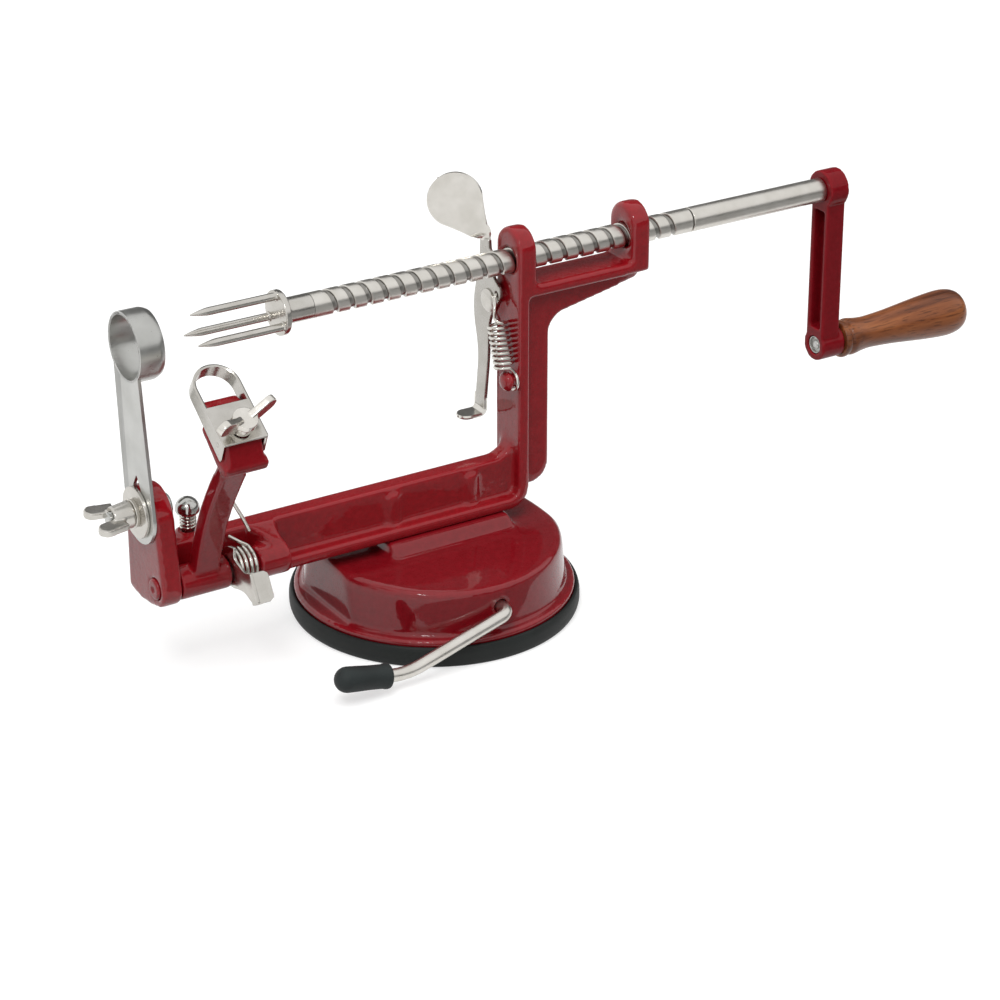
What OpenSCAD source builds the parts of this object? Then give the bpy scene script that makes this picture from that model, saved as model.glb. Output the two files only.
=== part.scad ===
// Hand-cranked apple peeler, corer and slicer on a suction base.
// X runs along the feed screw, with the crank at +X; Y points to the back; Z is up.
// The origin is the middle of the suction pad, on the table.

/* [Suction base] */
// Radius of the rubber pad
pad_r = 55.6; // [50:0.2:60]
// Thickness of the pad's flexible floor
pad_t = 2.5; // [2:0.1:3.5]
// Height of the pad's thick outer ring
pad_ring_h = 7; // [6:0.1:8]
// Width of the pad's thick outer ring
pad_ring_w = 10; // [8:0.2:12]
// Width of the lip of rubber that laps round the base flange
pad_lip_w = 1.9; // [1.4:0.1:2.4]
// Thickness of the base flange
flange_h = 3.4; // [2.5:0.1:4.5]
// Radius of the dome at its foot
dome_r = 50.4; // [47:0.2:52]
// Draft of the dome wall, foot to top
dome_draft = 1.6; // [0.5:0.1:3]
// Half distance between the two flat sides of the dome
dome_flat = 46.6; // [44:0.2:48]
// Height of the dome's roof above the table
dome_top = 29.5; // [28:0.1:33]
// Radius of the dome's top edge
dome_edge = 3.4; // [2:0.1:4]
// Wall thickness of the dome
dome_wall = 3; // [2.5:0.1:4]
// Drop of the roof from its ridge to the front edge
roof_drop = 2.6; // [1:0.1:4]
// Height of the frame's underside above the table
frame_z = 34.3; // [32:0.1:38]
// Length of the pedestal under the frame
pedestal_l = 53; // [46:0.5:60]
// Half width of the pedestal at its foot
pedestal_foot = 14.5; // [12:0.1:18]

/* [Suction lever] */
// Height of the lever's spindle
spindle_z = 18.5; // [17:0.1:20]
// Diameter of the lever rod
rod_d = 5; // [4:0.1:6]
// Radius of the lever's second bend, at the middle of the rod
knee_r = 9; // [6:0.5:14]
// Gap between the dome and the lever's arm
lever_gap = 1.2; // [0.6:0.1:4]
// Reach of the lever from its spindle to its bend
lever_reach = 44; // [36:0.5:50]
// Drop of the lever from its spindle to its bend
lever_drop = 13.2; // [8:0.1:13.6]
// Length of the lever beyond its bend
tip_l = 28; // [24:0.5:34]
// Slope of the lever beyond its bend
tip_slope = 11; // [0:1:20]
// Length of the soft cap on the lever's end
cap_l = 22; // [16:0.5:26]
// Diameter of the soft cap
cap_d = 9.6; // [8:0.1:11]
// Radius of the lifting cam
cam_r = 4; // [3.5:0.1:4.5]
// Offset of the lifting cam from the spindle
cam_throw = 1.05; // [0.8:0.05:1.2]
// Width of the lifting cam along the spindle
cam_w = 9; // [6:0.5:12]

/* [Feed screw] */
// Height of the feed screw's axis above the table
shaft_z = 132.6; // [126:0.2:140]
// Diameter of the feed screw over its thread
shaft_d = 9.5; // [8.8:0.1:10]
// Diameter of the screw's turned-down ends
core_d = 6.8; // [5.6:0.1:7.2]
// Lead of the single thread
lead = 7; // [6:0.1:8]
// Number of turns of thread
turns = 22; // [18:1:23]
// Width of the thread groove
groove_w = 2.3; // [2.2:0.1:2.6]
// Depth of the thread groove
groove_h = 0.9; // [0.6:0.05:1]
// Place of the collar at the screw's fork end
fork_x = -51; // [-54:0.5:-50]
// Place where the spacer sleeve starts
sleeve_x = 114; // [112:0.5:118]
// Place of the crank arm's inner face
crank_x = 177.5; // [172:0.5:184]
// Length of the fork's collar
collar_l = 11; // [8:0.5:14]
// Radius of the fork's disc
fork_disc_r = 8.4; // [7:0.1:9.5]
// Length of the fork's prongs
prong_l = 34; // [26:0.5:38]
// Diameter of a prong
prong_d = 3; // [2.2:0.1:3.4]

/* [Crank] */
// Throw of the crank, from the screw's axis to the handle's
crank_throw = 66; // [56:0.5:76]
// Thickness of the crank arm
crank_t = 8.5; // [7:0.1:10]
// Width of the crank arm
crank_w = 10.6; // [9.5:0.1:12]
// Radius of the crank's boss on the screw
crank_boss_r = 7.6; // [7:0.1:9]
// Radius of the crank's boss on the handle's bolt
pin_boss_r = 6.4; // [6:0.1:8]
// Step of the pin boss beyond the crank arm
pin_boss_step = 2.6; // [1.5:0.1:4]
// Length of the wooden grip
grip_l = 63; // [50:0.5:75]
// Radius of the grip at its belly
grip_r = 9.5; // [8.5:0.1:11]
// Radius of the grip at its collar
grip_collar_r = 7.6; // [6.8:0.1:8.4]
// Radius of the grip at its waist
grip_waist_r = 6.5; // [5.5:0.1:6.8]
// Diameter of the grip's bolt
bolt_d = 5; // [4:0.1:5.6]

/* [Frame] */
// Width of the frame's flanges
frame_w = 17.5; // [16.5:0.1:20]
// Thickness of the frame's web
web_t = 8; // [6:0.1:9]
// Thickness of the frame's flanges
flange_t = 4.6; // [3.5:0.1:5.5]
// Height of the lower bar
bar_h = 20; // [17:0.5:24]
// Place of the post's left face
post_x = 33; // [30:0.5:36]
// Depth of the post's outer web
post_web = 11.4; // [9:0.2:14]
// Length of the upper beam, from the post's left face
beam_l = 58.5; // [54:0.5:64]
// Thickness of a shaft lug
lug_t = 8; // [7:0.1:10]
// Height of a lug's top above the screw's axis
lug_rise = 13; // [12:0.1:16]
// Depth of the beam's floor below the screw's axis
beam_drop = 8.8; // [8:0.1:10]
// Depth of the beam's web at its free end
beam_tip = 4; // [3:0.1:6]
// Depth of the beam's web at the post
beam_root = 10; // [8:0.1:13]
// Radius of the frame's large corners
corner_r = 8; // [5:0.5:10]

/* [End bracket] */
// Place of the bracket's outer face
bracket_x = -123; // [-128:0.5:-121]
// Thickness of the bracket
bracket_t = 8; // [7:0.1:9]
// Width of the bracket's arch
bracket_w = 25; // [23:0.2:28]
// Place of the bracket's middle behind the screw's axis
bracket_y = -3; // [-5:0.1:-1]
// Height of the bracket's bolt
blade_bolt_z = 71; // [69:0.1:74]
// Diameter of the bolt that holds the slicing blade
blade_bolt_d = 5; // [4:0.1:6]
// Distance of the arm's rod in front of the screw's axis
rod_y = 12; // [11.5:0.1:13]
// Height of the arm's rod
rod_z = 43; // [42:0.1:45]
// Diameter of the arm's rod
arm_rod_d = 8; // [7:0.1:8.6]
// Place of the right end of the rod's boss
boss_x = -70; // [-74:0.5:-68]
// Length of the rod's boss
boss_l = 13; // [10:0.5:16]

/* [Peeling arm] */
// Radius of the arm's hub
hub_r = 6.2; // [5.8:0.1:6.6]
// Length of the arm's hub
hub_l = 20; // [18:0.1:20.2]
// Width of the arm's stem across its front
stem_t = 10; // [8:0.1:11]
// Thickness of the arm's stem, front to back
stem_w = 6; // [5:0.1:8]
// Width of the arm's head
head_w = 15.4; // [14.4:0.1:16.4]
// Thickness of the arm's head
head_t = 8; // [7:0.1:9]
// Slope of the arm's head
head_slope = 34; // [30:0.5:42]
// Thickness of the blade's sheet metal
sheet_t = 1.1; // [0.8:0.05:1.4]
// Length of the blade's plate
plate_l = 16.5; // [15:0.1:18]
// Place where the blade's round nose starts
nose_u = 24.5; // [23:0.1:26]

/* [Slicing blade] */
// Thickness of the slicing blade
blade_t = 1.4; // [1:0.1:2]
// Radius of the coring ring
ring_r = 13; // [12.4:0.1:14]
// Wall of the coring ring
ring_wall = 1.2; // [0.9:0.1:1.6]
// Length of the coring ring
ring_l = 10; // [6:0.5:11]
// Length of the blade's slot
slot_l = 22; // [18:0.5:26]
// Width of the blade's stem at its foot
blade_w = 24; // [22:0.2:26]

/* [Release lever] */
// Thickness of the lever's plate
plate_t = 1.5; // [1.2:0.1:1.6]
// Height of the lever's rivet
rivet_z = 114.3; // [113:0.1:116]
// Distance of the lever's rivet behind the screw's axis
rivet_y = 9; // [8:0.1:10]
// Length of the lever's leg below its rivet
leg_l = 48.8; // [44:0.2:50]
// Length of the thumb paddle
paddle_l = 29; // [26:0.5:34]
// Radius of the thumb paddle's round end
paddle_r = 10.2; // [8:0.1:12]

/* [Springs] */
// Wire of the release spring
release_wire = 1.25; // [1:0.05:1.3]
// Curls of the release spring
release_curls = 9; // [7:1:9]
// Wire of the arm spring
arm_wire = 1.4; // [1.1:0.05:1.5]
// Curls of the arm spring
arm_curls = 4; // [3:1:4]
// Wire of the stop screw's spring
stop_wire = 0.8; // [0.6:0.05:1]
// Curls of the stop screw's spring
stop_curls = 4; // [3:1:4]

/* [Hidden] */
$fn = 64;

red = [0.55, 0.05, 0.09];
nickel = [0.80, 0.79, 0.75];
steel = [0.70, 0.71, 0.72];
rubber = [0.07, 0.09, 0.09];
wood = [0.42, 0.19, 0.08];

// Clearances
run = 0.06;       // radial running fit of a pin or shaft in its hole
press = 0.02;     // radial clearance of a fixed pin
side = 0.3;       // end clearance beside a part that turns
eps = 0.01;       // overlap that joins two features of one casting

shaft_r = shaft_d / 2;
core_r = core_d / 2;
rod_r = rod_d / 2;

// Frame levels
bar_top = frame_z + bar_h;
floor_z = shaft_z - beam_drop;
beam_low = floor_z - flange_t;
post_back = post_x + flange_t;
beam_end = post_x + beam_l;
lug_half = frame_w / 2;
lug_mid = lug_rise - lug_half;
screw_spots = [-20, 14];      // frame screws along the lower bar
screw_d = 4.6;
screw_boss_r = 5.6;
screw_depth = 13;
bracket_in = bracket_x + bracket_t;
hub_x = bracket_in + 0.4;
hub_end = hub_x + hub_l;
boss_start = boss_x - boss_l;
blade_bolt_y = bracket_y - 1.5;

// Release lever
plate_gap = 0.2;
ear_x = post_x - 1.2;
plate_x = ear_x - plate_gap - plate_t;
tooth_x = plate_x + plate_t / 2;
peg = [-6, 87];               // spring peg on the post's left face
hook = [3.5, 118.5];          // spring hole in the lever
peg_r = 2.6;
peg_head_r = 4.2;
peg_neck = 3.2;               // room for the spring's hook between the post and the peg's head
rivet_r = 2.5;
rivet_head_r = 4.6;

// Thread: a groove crosses the release lever's tooth, straight behind the axis
thread_x = tooth_x - lead * floor((tooth_x - fork_x - 4) / lead);

// Stop screw
stop_x = -101.5;
stop_y = 3;
stop_top = bar_top + 1;
stop_d = 4;
stop_spring_h = 6.4;
stop_head_r = 4.6;

// Arm head: a frame with its origin at the front edge of the blade's plate
head_mid = hub_x + hub_l / 2 + 0.4;
head_y = -51.5;
head_z = 111.8;
head_l = 22;
head_heel = 6.2;              // reach of the head's ledge in front of the plate
wall_h = 8.2;                 // height of the blade's side walls at the front
wall_thin = 0.063;            // how fast the walls get lower towards the nose
thumb_u = 5;                // thumb screw's place along the head
thumb_d = 4;

// A cylinder along X between two places
module rod_x(x0, x1, r, y = 0, z = 0) {
  translate([x0, y, z]) rotate([0, 90, 0]) cylinder(r = r, h = x1 - x0);
}

// An outline in Y and Z, thickened along X
module slab_x(x0, x1) {
  translate([x0, 0, 0]) rotate([90, 0, 90]) linear_extrude(x1 - x0) children();
}

// An outline in X and Z, thickened along Y about the middle
module slab_y(t) {
  translate([0, t / 2, 0]) rotate([90, 0, 0]) linear_extrude(t) children();
}

function unit(v) = v / norm(v);
function arc(c, r, a0, a1, n = 8) = [for (i = [0:n])
  let(a = a0 + (a1 - a0) * i / n) c + r * [cos(a), sin(a)]];

// Frames carried along a wire without twist
function tangents(p) = [for (i = [0:len(p) - 1]) unit(p[min(i + 1, len(p) - 1)] - p[max(i - 1, 0)])];
function carry(t, n, i = 0) = i == len(t) ? [] :
  let(m = unit(n - (n * t[i]) * t[i])) concat([m], carry(t, m, i + 1));

// A round wire along a row of points, as one closed tube
module wire(p, d, sides = 6) {
  t = tangents(p);
  n = carry(t, unit(cross(t[0], [0.31, 0.52, 0.79])));
  last = len(p) - 1;
  skin = [for (i = [0:last]) for (j = [0:sides - 1]) let(a = 360 * j / sides)
    p[i] + d / 2 * (cos(a) * n[i] + sin(a) * cross(t[i], n[i]))];
  walls = [for (i = [0:last - 1]) for (j = [0:sides - 1])
    let(a = i * sides + j, b = i * sides + (j + 1) % sides)
    each [[a, a + sides, b + sides], [a, b + sides, b]]];
  ends = [for (j = [1:sides - 2]) each [[0, j, j + 1],
    [last * sides, last * sides + j + 1, last * sides + j]]];
  polyhedron(skin, concat(walls, ends), convexity = 8);
}

// Least gap between points of a wire that lie on different curls
function least_gap(p, d, apart) = min([for (i = [0:len(p) - 1 - apart]) for (j = [i + apart:len(p) - 1])
  norm(p[i] - p[j])]) - d;

// Frame: lower bar, post, upper beam with two lugs, end bracket and rod boss
module frame_casting() {
  color(red) difference() {
    union() {
      frame_ribs();
      frame_flanges();
      for (x = [post_x, beam_end - lug_t]) slab_x(x, x + lug_t) lug_outline();
      slab_x(bracket_x, bracket_in) bracket_outline();
      rod_x(boss_start, boss_x, hub_r, -rod_y, rod_z);
      gusset();
      for (x = screw_spots) translate([x, 0, frame_z + eps]) cylinder(r = screw_boss_r, h = bar_h - 3);
      translate([stop_x, stop_y, frame_z + eps]) cylinder(r = 5.2, h = stop_top - frame_z);
      rod_x(ear_x, post_back, 6, rivet_y, rivet_z);
      spring_peg();
    }
    rod_x(post_x - 1, beam_end + 1, shaft_r + run + 0.04, 0, shaft_z);
    rod_x(bracket_x - 1, boss_x + 1, arm_rod_d / 2 + press, -rod_y, rod_z);
    rod_x(bracket_in, boss_start, max(hub_r, arm_mid + arm_wire / 2) + 0.6, -rod_y, rod_z);
    rod_x(bracket_x - 1, bracket_in + 1, blade_bolt_d / 2 + press, blade_bolt_y, blade_bolt_z);
    rod_x(ear_x - 1, post_back + 1, rivet_r + press, rivet_y, rivet_z);
    for (x = screw_spots) translate([x, 0, frame_z - 1])
      cylinder(d = screw_d + 2 * press, h = screw_depth + 1);
    translate([stop_x, stop_y, stop_top - 12]) cylinder(d = stop_d + 2 * press, h = 13);
  }
}

// Web of the bar, post and beam
module frame_ribs() {
  tip_r = beam_tip * 0.85;
  slab_y(web_t) union() {
    polygon([[bracket_x + 1, frame_z + 1], [post_back, frame_z + 1],
      [post_back, bar_top], [bracket_x + 1, bar_top]]);
    polygon(concat([[post_x + 1, bar_top - 1]],
      arc([post_x - corner_r, bar_top + corner_r], corner_r, -90, 0), [[post_x + 1, bar_top + corner_r]]));
    polygon(concat(
      [[post_x + 1, beam_low + eps], [post_x + 1, frame_z + flange_t + 2]],
      arc([post_back + post_web - corner_r, frame_z + flange_t + 2 + corner_r], corner_r, -90, 0),
      arc([post_back + post_web + corner_r, beam_low - beam_root - corner_r], corner_r, 180, 100),
      arc([beam_end - 1.5 - tip_r, beam_low - beam_tip + tip_r], tip_r, -70, 0),
      [[beam_end - 1.5, beam_low + eps]]));
  }
}

// Flange that runs under the bar, round the corner, up the post and along the beam
module frame_flanges() {
  slab_y(frame_w) union() {
    polygon(concat(
      [[bracket_x + 1, frame_z + flange_t], [bracket_x + 1, frame_z]],
      arc([post_back - corner_r, frame_z + corner_r], corner_r, -90, 0),
      [[post_back, floor_z], [post_x, floor_z]],
      arc([post_back - corner_r, frame_z + corner_r], corner_r - flange_t, 0, -90)));
    translate([post_x, beam_low]) square([beam_l, flange_t]);
  }
}

module lug_outline() {
  translate([-lug_half, beam_low]) square([frame_w, shaft_z + lug_mid - beam_low]);
  translate([0, shaft_z + lug_mid]) circle(lug_half);
}

module bracket_outline() {
  half = bracket_w / 2;
  arch_z = blade_bolt_z - 3.5;
  translate([bracket_y, arch_z]) circle(half);
  translate([-rod_y, rod_z]) circle(hub_r + 0.8);
  polygon([[bracket_y + half, arch_z], [bracket_y - half, arch_z], [-rod_y - hub_r - 0.6, rod_z + 2],
    [-rod_y, frame_z + 1.6], [0, frame_z], [bracket_y + half, frame_z + 2]]);
}

// Fin that is broad at the bar and narrow where it meets the rod's boss, with a nub on its end
module gusset() {
  nub = 3.4;
  mid = boss_x - 3.2;
  hull() {
    translate([mid - nub / 2, -rod_y - 1.4, rod_z]) cube([nub, 2, hub_r + 0.5]);
    translate([mid - 8, -web_t / 2 - eps, rod_z]) cube([11, 1, bar_top - rod_z]);
  }
}

// Round-headed peg that holds the release spring's lower hook
module spring_peg() {
  rod_x(post_x - peg_neck - 1, post_x + 1, peg_r, peg[0], peg[1]);
  translate([post_x - peg_neck, peg[0], peg[1]]) rotate([0, -90, 0]) rotate_extrude($fn = 32)
    polygon(concat([[0, 0], [peg_head_r - 0.4, 0]], arc([peg_head_r - 2.6, 0.6], 2.6, -13, 90, 5),
      [[0, 3.4]]));
}

// Base: a cast dome with two flat sides, a flange on the rubber and a pedestal
module base_housing() {
  color(red) difference() {
    union() {
      translate([0, 0, pad_ring_h]) cylinder(r = pad_r - pad_lip_w, h = flange_h);
      intersection() {
        dome(0, dome_top);
        translate([-dome_flat, -pad_r, 0]) cube([2 * dome_flat, 2 * pad_r, dome_top + 1]);
        roof();
      }
      pedestal();
    }
    intersection() {
      dome(dome_wall, dome_top - dome_wall - 0.6);
      translate([dome_wall - dome_flat, -pad_r, 0]) cube([2 * (dome_flat - dome_wall), 2 * pad_r, dome_top]);
      translate([0, 0, -dome_wall]) roof();
    }
    for (x = screw_spots) translate([x, 0, spindle_z]) cylinder(d = screw_d + 0.5, h = frame_z);
    translate([0, pad_r, spindle_z]) rotate([90, 0, 0]) cylinder(r = rod_r + run, h = 2 * pad_r);
  }
}

// The dome before its flats: a drafted wall with a round top edge
module dome(inset, top) {
  low = pad_ring_h - (inset > 0 ? 1 : -1);
  e = dome_edge;
  r1 = dome_r - inset;
  r2 = r1 - dome_draft;
  rotate_extrude($fn = 96) polygon(concat([[0, low], [r1, low]],
    arc([r2 - e, top - e], e, 0, 90, 6), [[0, top]]));
}

// Two roof slopes that fall to the front and to the back
module roof() {
  y1 = pedestal_foot + 1;
  slab_x(-pad_r, pad_r) polygon([[-dome_r, 0], [-dome_r, dome_top - roof_drop], [-y1, dome_top + eps],
    [y1, dome_top + eps], [dome_r, dome_top - roof_drop], [dome_r, 0]]);
}

module pedestal() {
  top = frame_w / 2 + 0.8;
  mid = (screw_spots[0] + screw_spots[1]) / 2 + 4.5;
  slab_x(mid - pedestal_l / 2, mid + pedestal_l / 2) polygon([[-pedestal_foot, dome_top - 1.5],
    [-pedestal_foot, dome_top], [-top, frame_z], [top, frame_z], [pedestal_foot, dome_top],
    [pedestal_foot, dome_top - 1.5]]);
}

// Two screws that hold the frame on the base, from inside the dome
module frame_screws() {
  head_top = dome_top - dome_wall - 0.6;
  color(steel) for (x = screw_spots) translate([x, 0, 0]) difference() {
    union() {
      translate([0, 0, head_top - 3]) cylinder(r = 4.2, h = 3);
      translate([0, 0, head_top - 1]) cylinder(d = screw_d, h = frame_z + screw_depth - 1 - head_top);
    }
    translate([-0.6, -5, head_top - 3.5]) cube([1.2, 10, 1.6]);
  }
}

// Rubber pad: thin floor, thick ring under the flange, and a lip round it
module suction_pad() {
  seat = pad_r - pad_lip_w;
  color(rubber) rotate_extrude($fn = 96) polygon([[0, 0], [pad_r - 0.6, 0], [pad_r, 0.8],
    [pad_r, pad_ring_h + 0.4],
    [pad_r - 0.5, pad_ring_h + 1.2], [seat + press, pad_ring_h + 1.2], [seat + press, pad_ring_h],
    [pad_r - pad_ring_w, pad_ring_h], [pad_r - pad_ring_w - 2, pad_t], [0, pad_t]]);
}

// Stirrup bonded to the pad's middle, with a window for the cam
module lift_stirrup() {
  cam_low = spindle_z - cam_throw - cam_r;
  half_x = cam_r + cam_throw + 0.4;
  gap = 0.5;
  bridge = 1.5;
  post = 2.4;
  color(steel) difference() {
    union() {
      translate([0, 0, pad_t]) cylinder(r = 15, h = 1.6);
      translate([-half_x - post, -cam_w / 2 + 1, pad_t])
        cube([2 * (half_x + post), cam_w - 2, cam_low + 2 * cam_r + gap + bridge - pad_t]);
    }
    translate([-half_x, -cam_w, cam_low - gap]) cube([2 * half_x, 2 * cam_w, 2 * cam_r + 2 * gap]);
  }
}

// Suction lever: its arm is drawn along X from the spindle, and turned down to the front left
lever_y = dome_r + rod_r + lever_gap;
elbow_r = rod_r + lever_gap;
lever_tilt = atan2(lever_drop, lever_reach);
knee_turn = lever_tilt + tip_slope;
knee_cut = knee_r * tan(knee_turn / 2);
knee_x = norm([lever_reach, lever_drop]) - knee_cut;
tip_start = [knee_x + knee_r * sin(knee_turn), knee_r * (cos(knee_turn) - 1)];
tip_run = tip_l - knee_cut;

module on_lever() {
  translate([0, -lever_y, spindle_z]) rotate([0, 180 - lever_tilt, 0]) children();
}

// The lever's outer end: Z runs outwards along the rod, from the end of the second bend
module on_tip() {
  on_lever() translate([tip_start[0], 0, tip_start[1]]) rotate([0, 90 + knee_turn, 0]) children();
}

// Bent rod: spindle across the base, and an arm in front of it
lever_route = concat(
  [[0, lever_y + dome_r - dome_draft, 0], [0, elbow_r + lever_gap / 2, 0]],
  [for (p = arc([elbow_r, elbow_r], elbow_r, 180, 270)) [p[0], p[1], 0]],
  [[elbow_r + lever_gap / 2, 0, 0], [knee_x - lever_gap / 2, 0, 0]],
  [for (p = arc([knee_x, -knee_r], knee_r, 90, 90 - knee_turn, 6)) [p[0], 0, p[1]]],
  [for (k = [0.05 * tip_run, tip_run])
    [tip_start[0] + k * cos(knee_turn), 0, tip_start[1] - k * sin(knee_turn)]]);

module lever_rod() {
  color(nickel) on_lever() wire(lever_route, rod_d, 24);
}

// Eccentric on the spindle that lifts the pad's middle
module lift_cam() {
  color(steel) difference() {
    translate([0, cam_w / 2 + 1, spindle_z - cam_throw]) rotate([90, 0, 0])
      cylinder(r = cam_r, h = cam_w + 2);
    translate([0, cam_w, spindle_z]) rotate([90, 0, 0]) cylinder(r = rod_r + press, h = 2 * cam_w);
  }
}

// Soft cap pushed over the end of the lever
module lever_cap() {
  wall = 2;
  r = cap_d / 2;
  back = cap_l - wall;
  lip = 0.6;
  color(rubber) on_tip() translate([0, 0, tip_run]) rotate_extrude() polygon(concat(
    [[rod_r + press, -back], [r - lip, -back], [r, lip - back]],
    arc([0, wall - r], r, 0, 90, 6), [[0, 0], [rod_r + press, 0]]));
}

// Threaded screw: columns of points round the axis, each crossed by every turn of the groove
sides = 20;
ramp = 5;
flank = 0.2;
cuts = min(turns, floor((sleeve_x - 2 - groove_w - thread_x) / lead));
steps = cuts * sides;
crossings = function(i) i == 0 ? cuts + 1 : cuts;
screw_ends = [[fork_x - collar_l, core_r - 0.6], [fork_x, core_r - 0.6], [fork_x, shaft_r]];
crank_ends = [[sleeve_x, shaft_r], [sleeve_x, core_r], [crank_x + crank_t, core_r]];
function groove(t) = let(x = thread_x + lead * t / sides, h = groove_h * min(1, t / ramp, (steps - t) / ramp))
  [[x - groove_w / 2, shaft_r], [x - groove_w / 2 + flank, shaft_r - h],
   [x + groove_w / 2 - flank, shaft_r - h], [x + groove_w / 2, shaft_r]];
function column(i) = concat(screw_ends,
  [for (n = [0:crossings(i) - 1]) each groove(i + n * sides)], crank_ends);
function id(i, k) = let(c = i % sides, plain = 6 + 4 * cuts) (c == 0 ? 0 : 4 + c * plain) + k;
function strip(i, a, b) = concat(
  [for (j = [0:len(b) - 2]) [id(i, a[0]), id(i + 1, b[j + 1]), id(i + 1, b[j])]],
  [for (j = [0:len(a) - 2]) [id(i, a[j]), id(i, a[j + 1]), id(i + 1, b[len(b) - 1])]]);
function screw_faces(i) = let(
    shift = i == sides - 1 ? 4 : 0,
    a_last = 3 + 4 * cuts + (i == 0 ? 4 : 0),
    b_last = 3 + 4 * cuts + shift)
  concat(
    [for (k = [0, 1]) each strip(i, [k, k + 1], [k, k + 1])],
    strip(i, [2, 3], [for (k = [2:3 + shift]) k]),
    [for (k = [3:4 * cuts + 1]) each strip(i, [k, k + 1], [k + shift, k + 1 + shift])],
    strip(i, [for (k = [4 * cuts + 2:a_last]) k], [for (k = [4 * cuts + 2 + shift:b_last]) k]),
    [for (k = [0, 1]) each strip(i, [a_last + k, a_last + k + 1], [b_last + k, b_last + k + 1])]);

module feed_shaft() {
  points = [for (i = [0:sides - 1]) for (q = column(i))
    [q[0], q[1] * cos(360 * i / sides), shaft_z + q[1] * sin(360 * i / sides)]];
  far = function(i) 5 + 4 * crossings(i);
  faces = concat([for (i = [0:sides - 1]) each screw_faces(i)],
    [for (i = [1:sides - 2]) each [[id(0, 0), id(i, 0), id(i + 1, 0)],
      [id(0, far(0)), id(i + 1, far(i + 1)), id(i, far(i))]]]);
  color(nickel) polyhedron(points, faces, convexity = 10);
}

// Plain tube on the screw between the thread and the crank
module spacer_sleeve() {
  color(nickel) difference() {
    rod_x(sleeve_x + side, crank_x - side, shaft_r + 0.04, 0, shaft_z);
    rod_x(sleeve_x - 1, crank_x + 1, core_r + run, 0, shaft_z);
  }
}

// Three-pronged fork on the end of the screw
module apple_fork() {
  prong_ring = fork_disc_r - prong_d / 2 - 0.4;
  disc_t = 2.6;
  tip = 7;
  start = fork_x - collar_l;
  color(nickel) difference() {
    union() {
      rod_x(start - eps, fork_x, shaft_r + 0.04, 0, shaft_z);
      rod_x(start - disc_t, start, fork_disc_r, 0, shaft_z);
      for (a = [90, 210, 330]) translate([start - disc_t + eps, 0, shaft_z])
        rotate([a, 0, 0]) translate([0, prong_ring, 0]) rotate([0, -90, 0]) {
          cylinder(d = prong_d, h = prong_l - tip);
          translate([0, 0, prong_l - tip - eps]) cylinder(d1 = prong_d, d2 = 0.4, h = tip);
        }
    }
    rod_x(start, fork_x + 1, core_r - 0.6 + press, 0, shaft_z);
  }
}

// Crank arm: a bar with a long pocket and a boss at each end
module crank_arm() {
  pin_z = shaft_z - crank_throw;
  pocket_w = crank_w - 4.4;
  pocket_low = pin_z + pin_boss_r + 1;
  head_pocket = 2.4;
  out = crank_x + crank_t;
  color(red) difference() {
    union() {
      rod_x(crank_x, out, crank_boss_r, 0, shaft_z);
      rod_x(crank_x, out + pin_boss_step, pin_boss_r, 0, pin_z);
      translate([crank_x, -crank_w / 2, pin_z]) cube([crank_t, crank_w, crank_throw]);
    }
    translate([crank_x - 1, -pocket_w / 2, pocket_low])
      cube([crank_t * 0.6 + 1, pocket_w, shaft_z - crank_boss_r - 1 - pocket_low]);
    rod_x(crank_x - 1, out + 1, core_r + press, 0, shaft_z);
    rod_x(crank_x - 1, out + pin_boss_step + 1, bolt_d / 2 + run, 0, pin_z);
    rod_x(crank_x - 1, crank_x + head_pocket, bolt_d / 2 + 1.4, 0, pin_z);
  }
}

// Bolt that the grip turns on, its head sunk in the crank arm
module handle_bolt() {
  pin_z = shaft_z - crank_throw;
  end_x = crank_x + crank_t + pin_boss_step + grip_l * 0.7;
  color(steel) difference() {
    union() {
      rod_x(crank_x + 0.4, crank_x + 2.3, bolt_d / 2 + 1, 0, pin_z);
      rod_x(crank_x + 1, end_x, bolt_d / 2, 0, pin_z);
    }
    translate([crank_x, -5, pin_z - 0.5]) cube([1.2, 10, 1]);
  }
}

// Turned wooden grip with a collar, a waist and a round belly
module handle_grip() {
  pin_z = shaft_z - crank_throw;
  start = crank_x + crank_t + pin_boss_step + side;
  belly = grip_l - grip_r;
  bore = bolt_d / 2 + press;
  swell = [for (i = [0:8]) let(t = i / 8) [grip_waist_r + (grip_r - grip_waist_r) * (1 - cos(180 * t)) / 2,
    12 + (belly - 12) * t]];
  color(wood) translate([start, 0, pin_z]) rotate([0, 90, 0]) rotate_extrude() polygon(concat(
    [[bore, 0], [grip_collar_r - 1.2, 0], [grip_collar_r, 1.2], [grip_collar_r, 4], [grip_waist_r + 0.3, 8]],
    swell, arc([0, belly], grip_r, 15, 90, 6), [[0, grip_l * 0.7], [bore, grip_l * 0.7]]));
}

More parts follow.
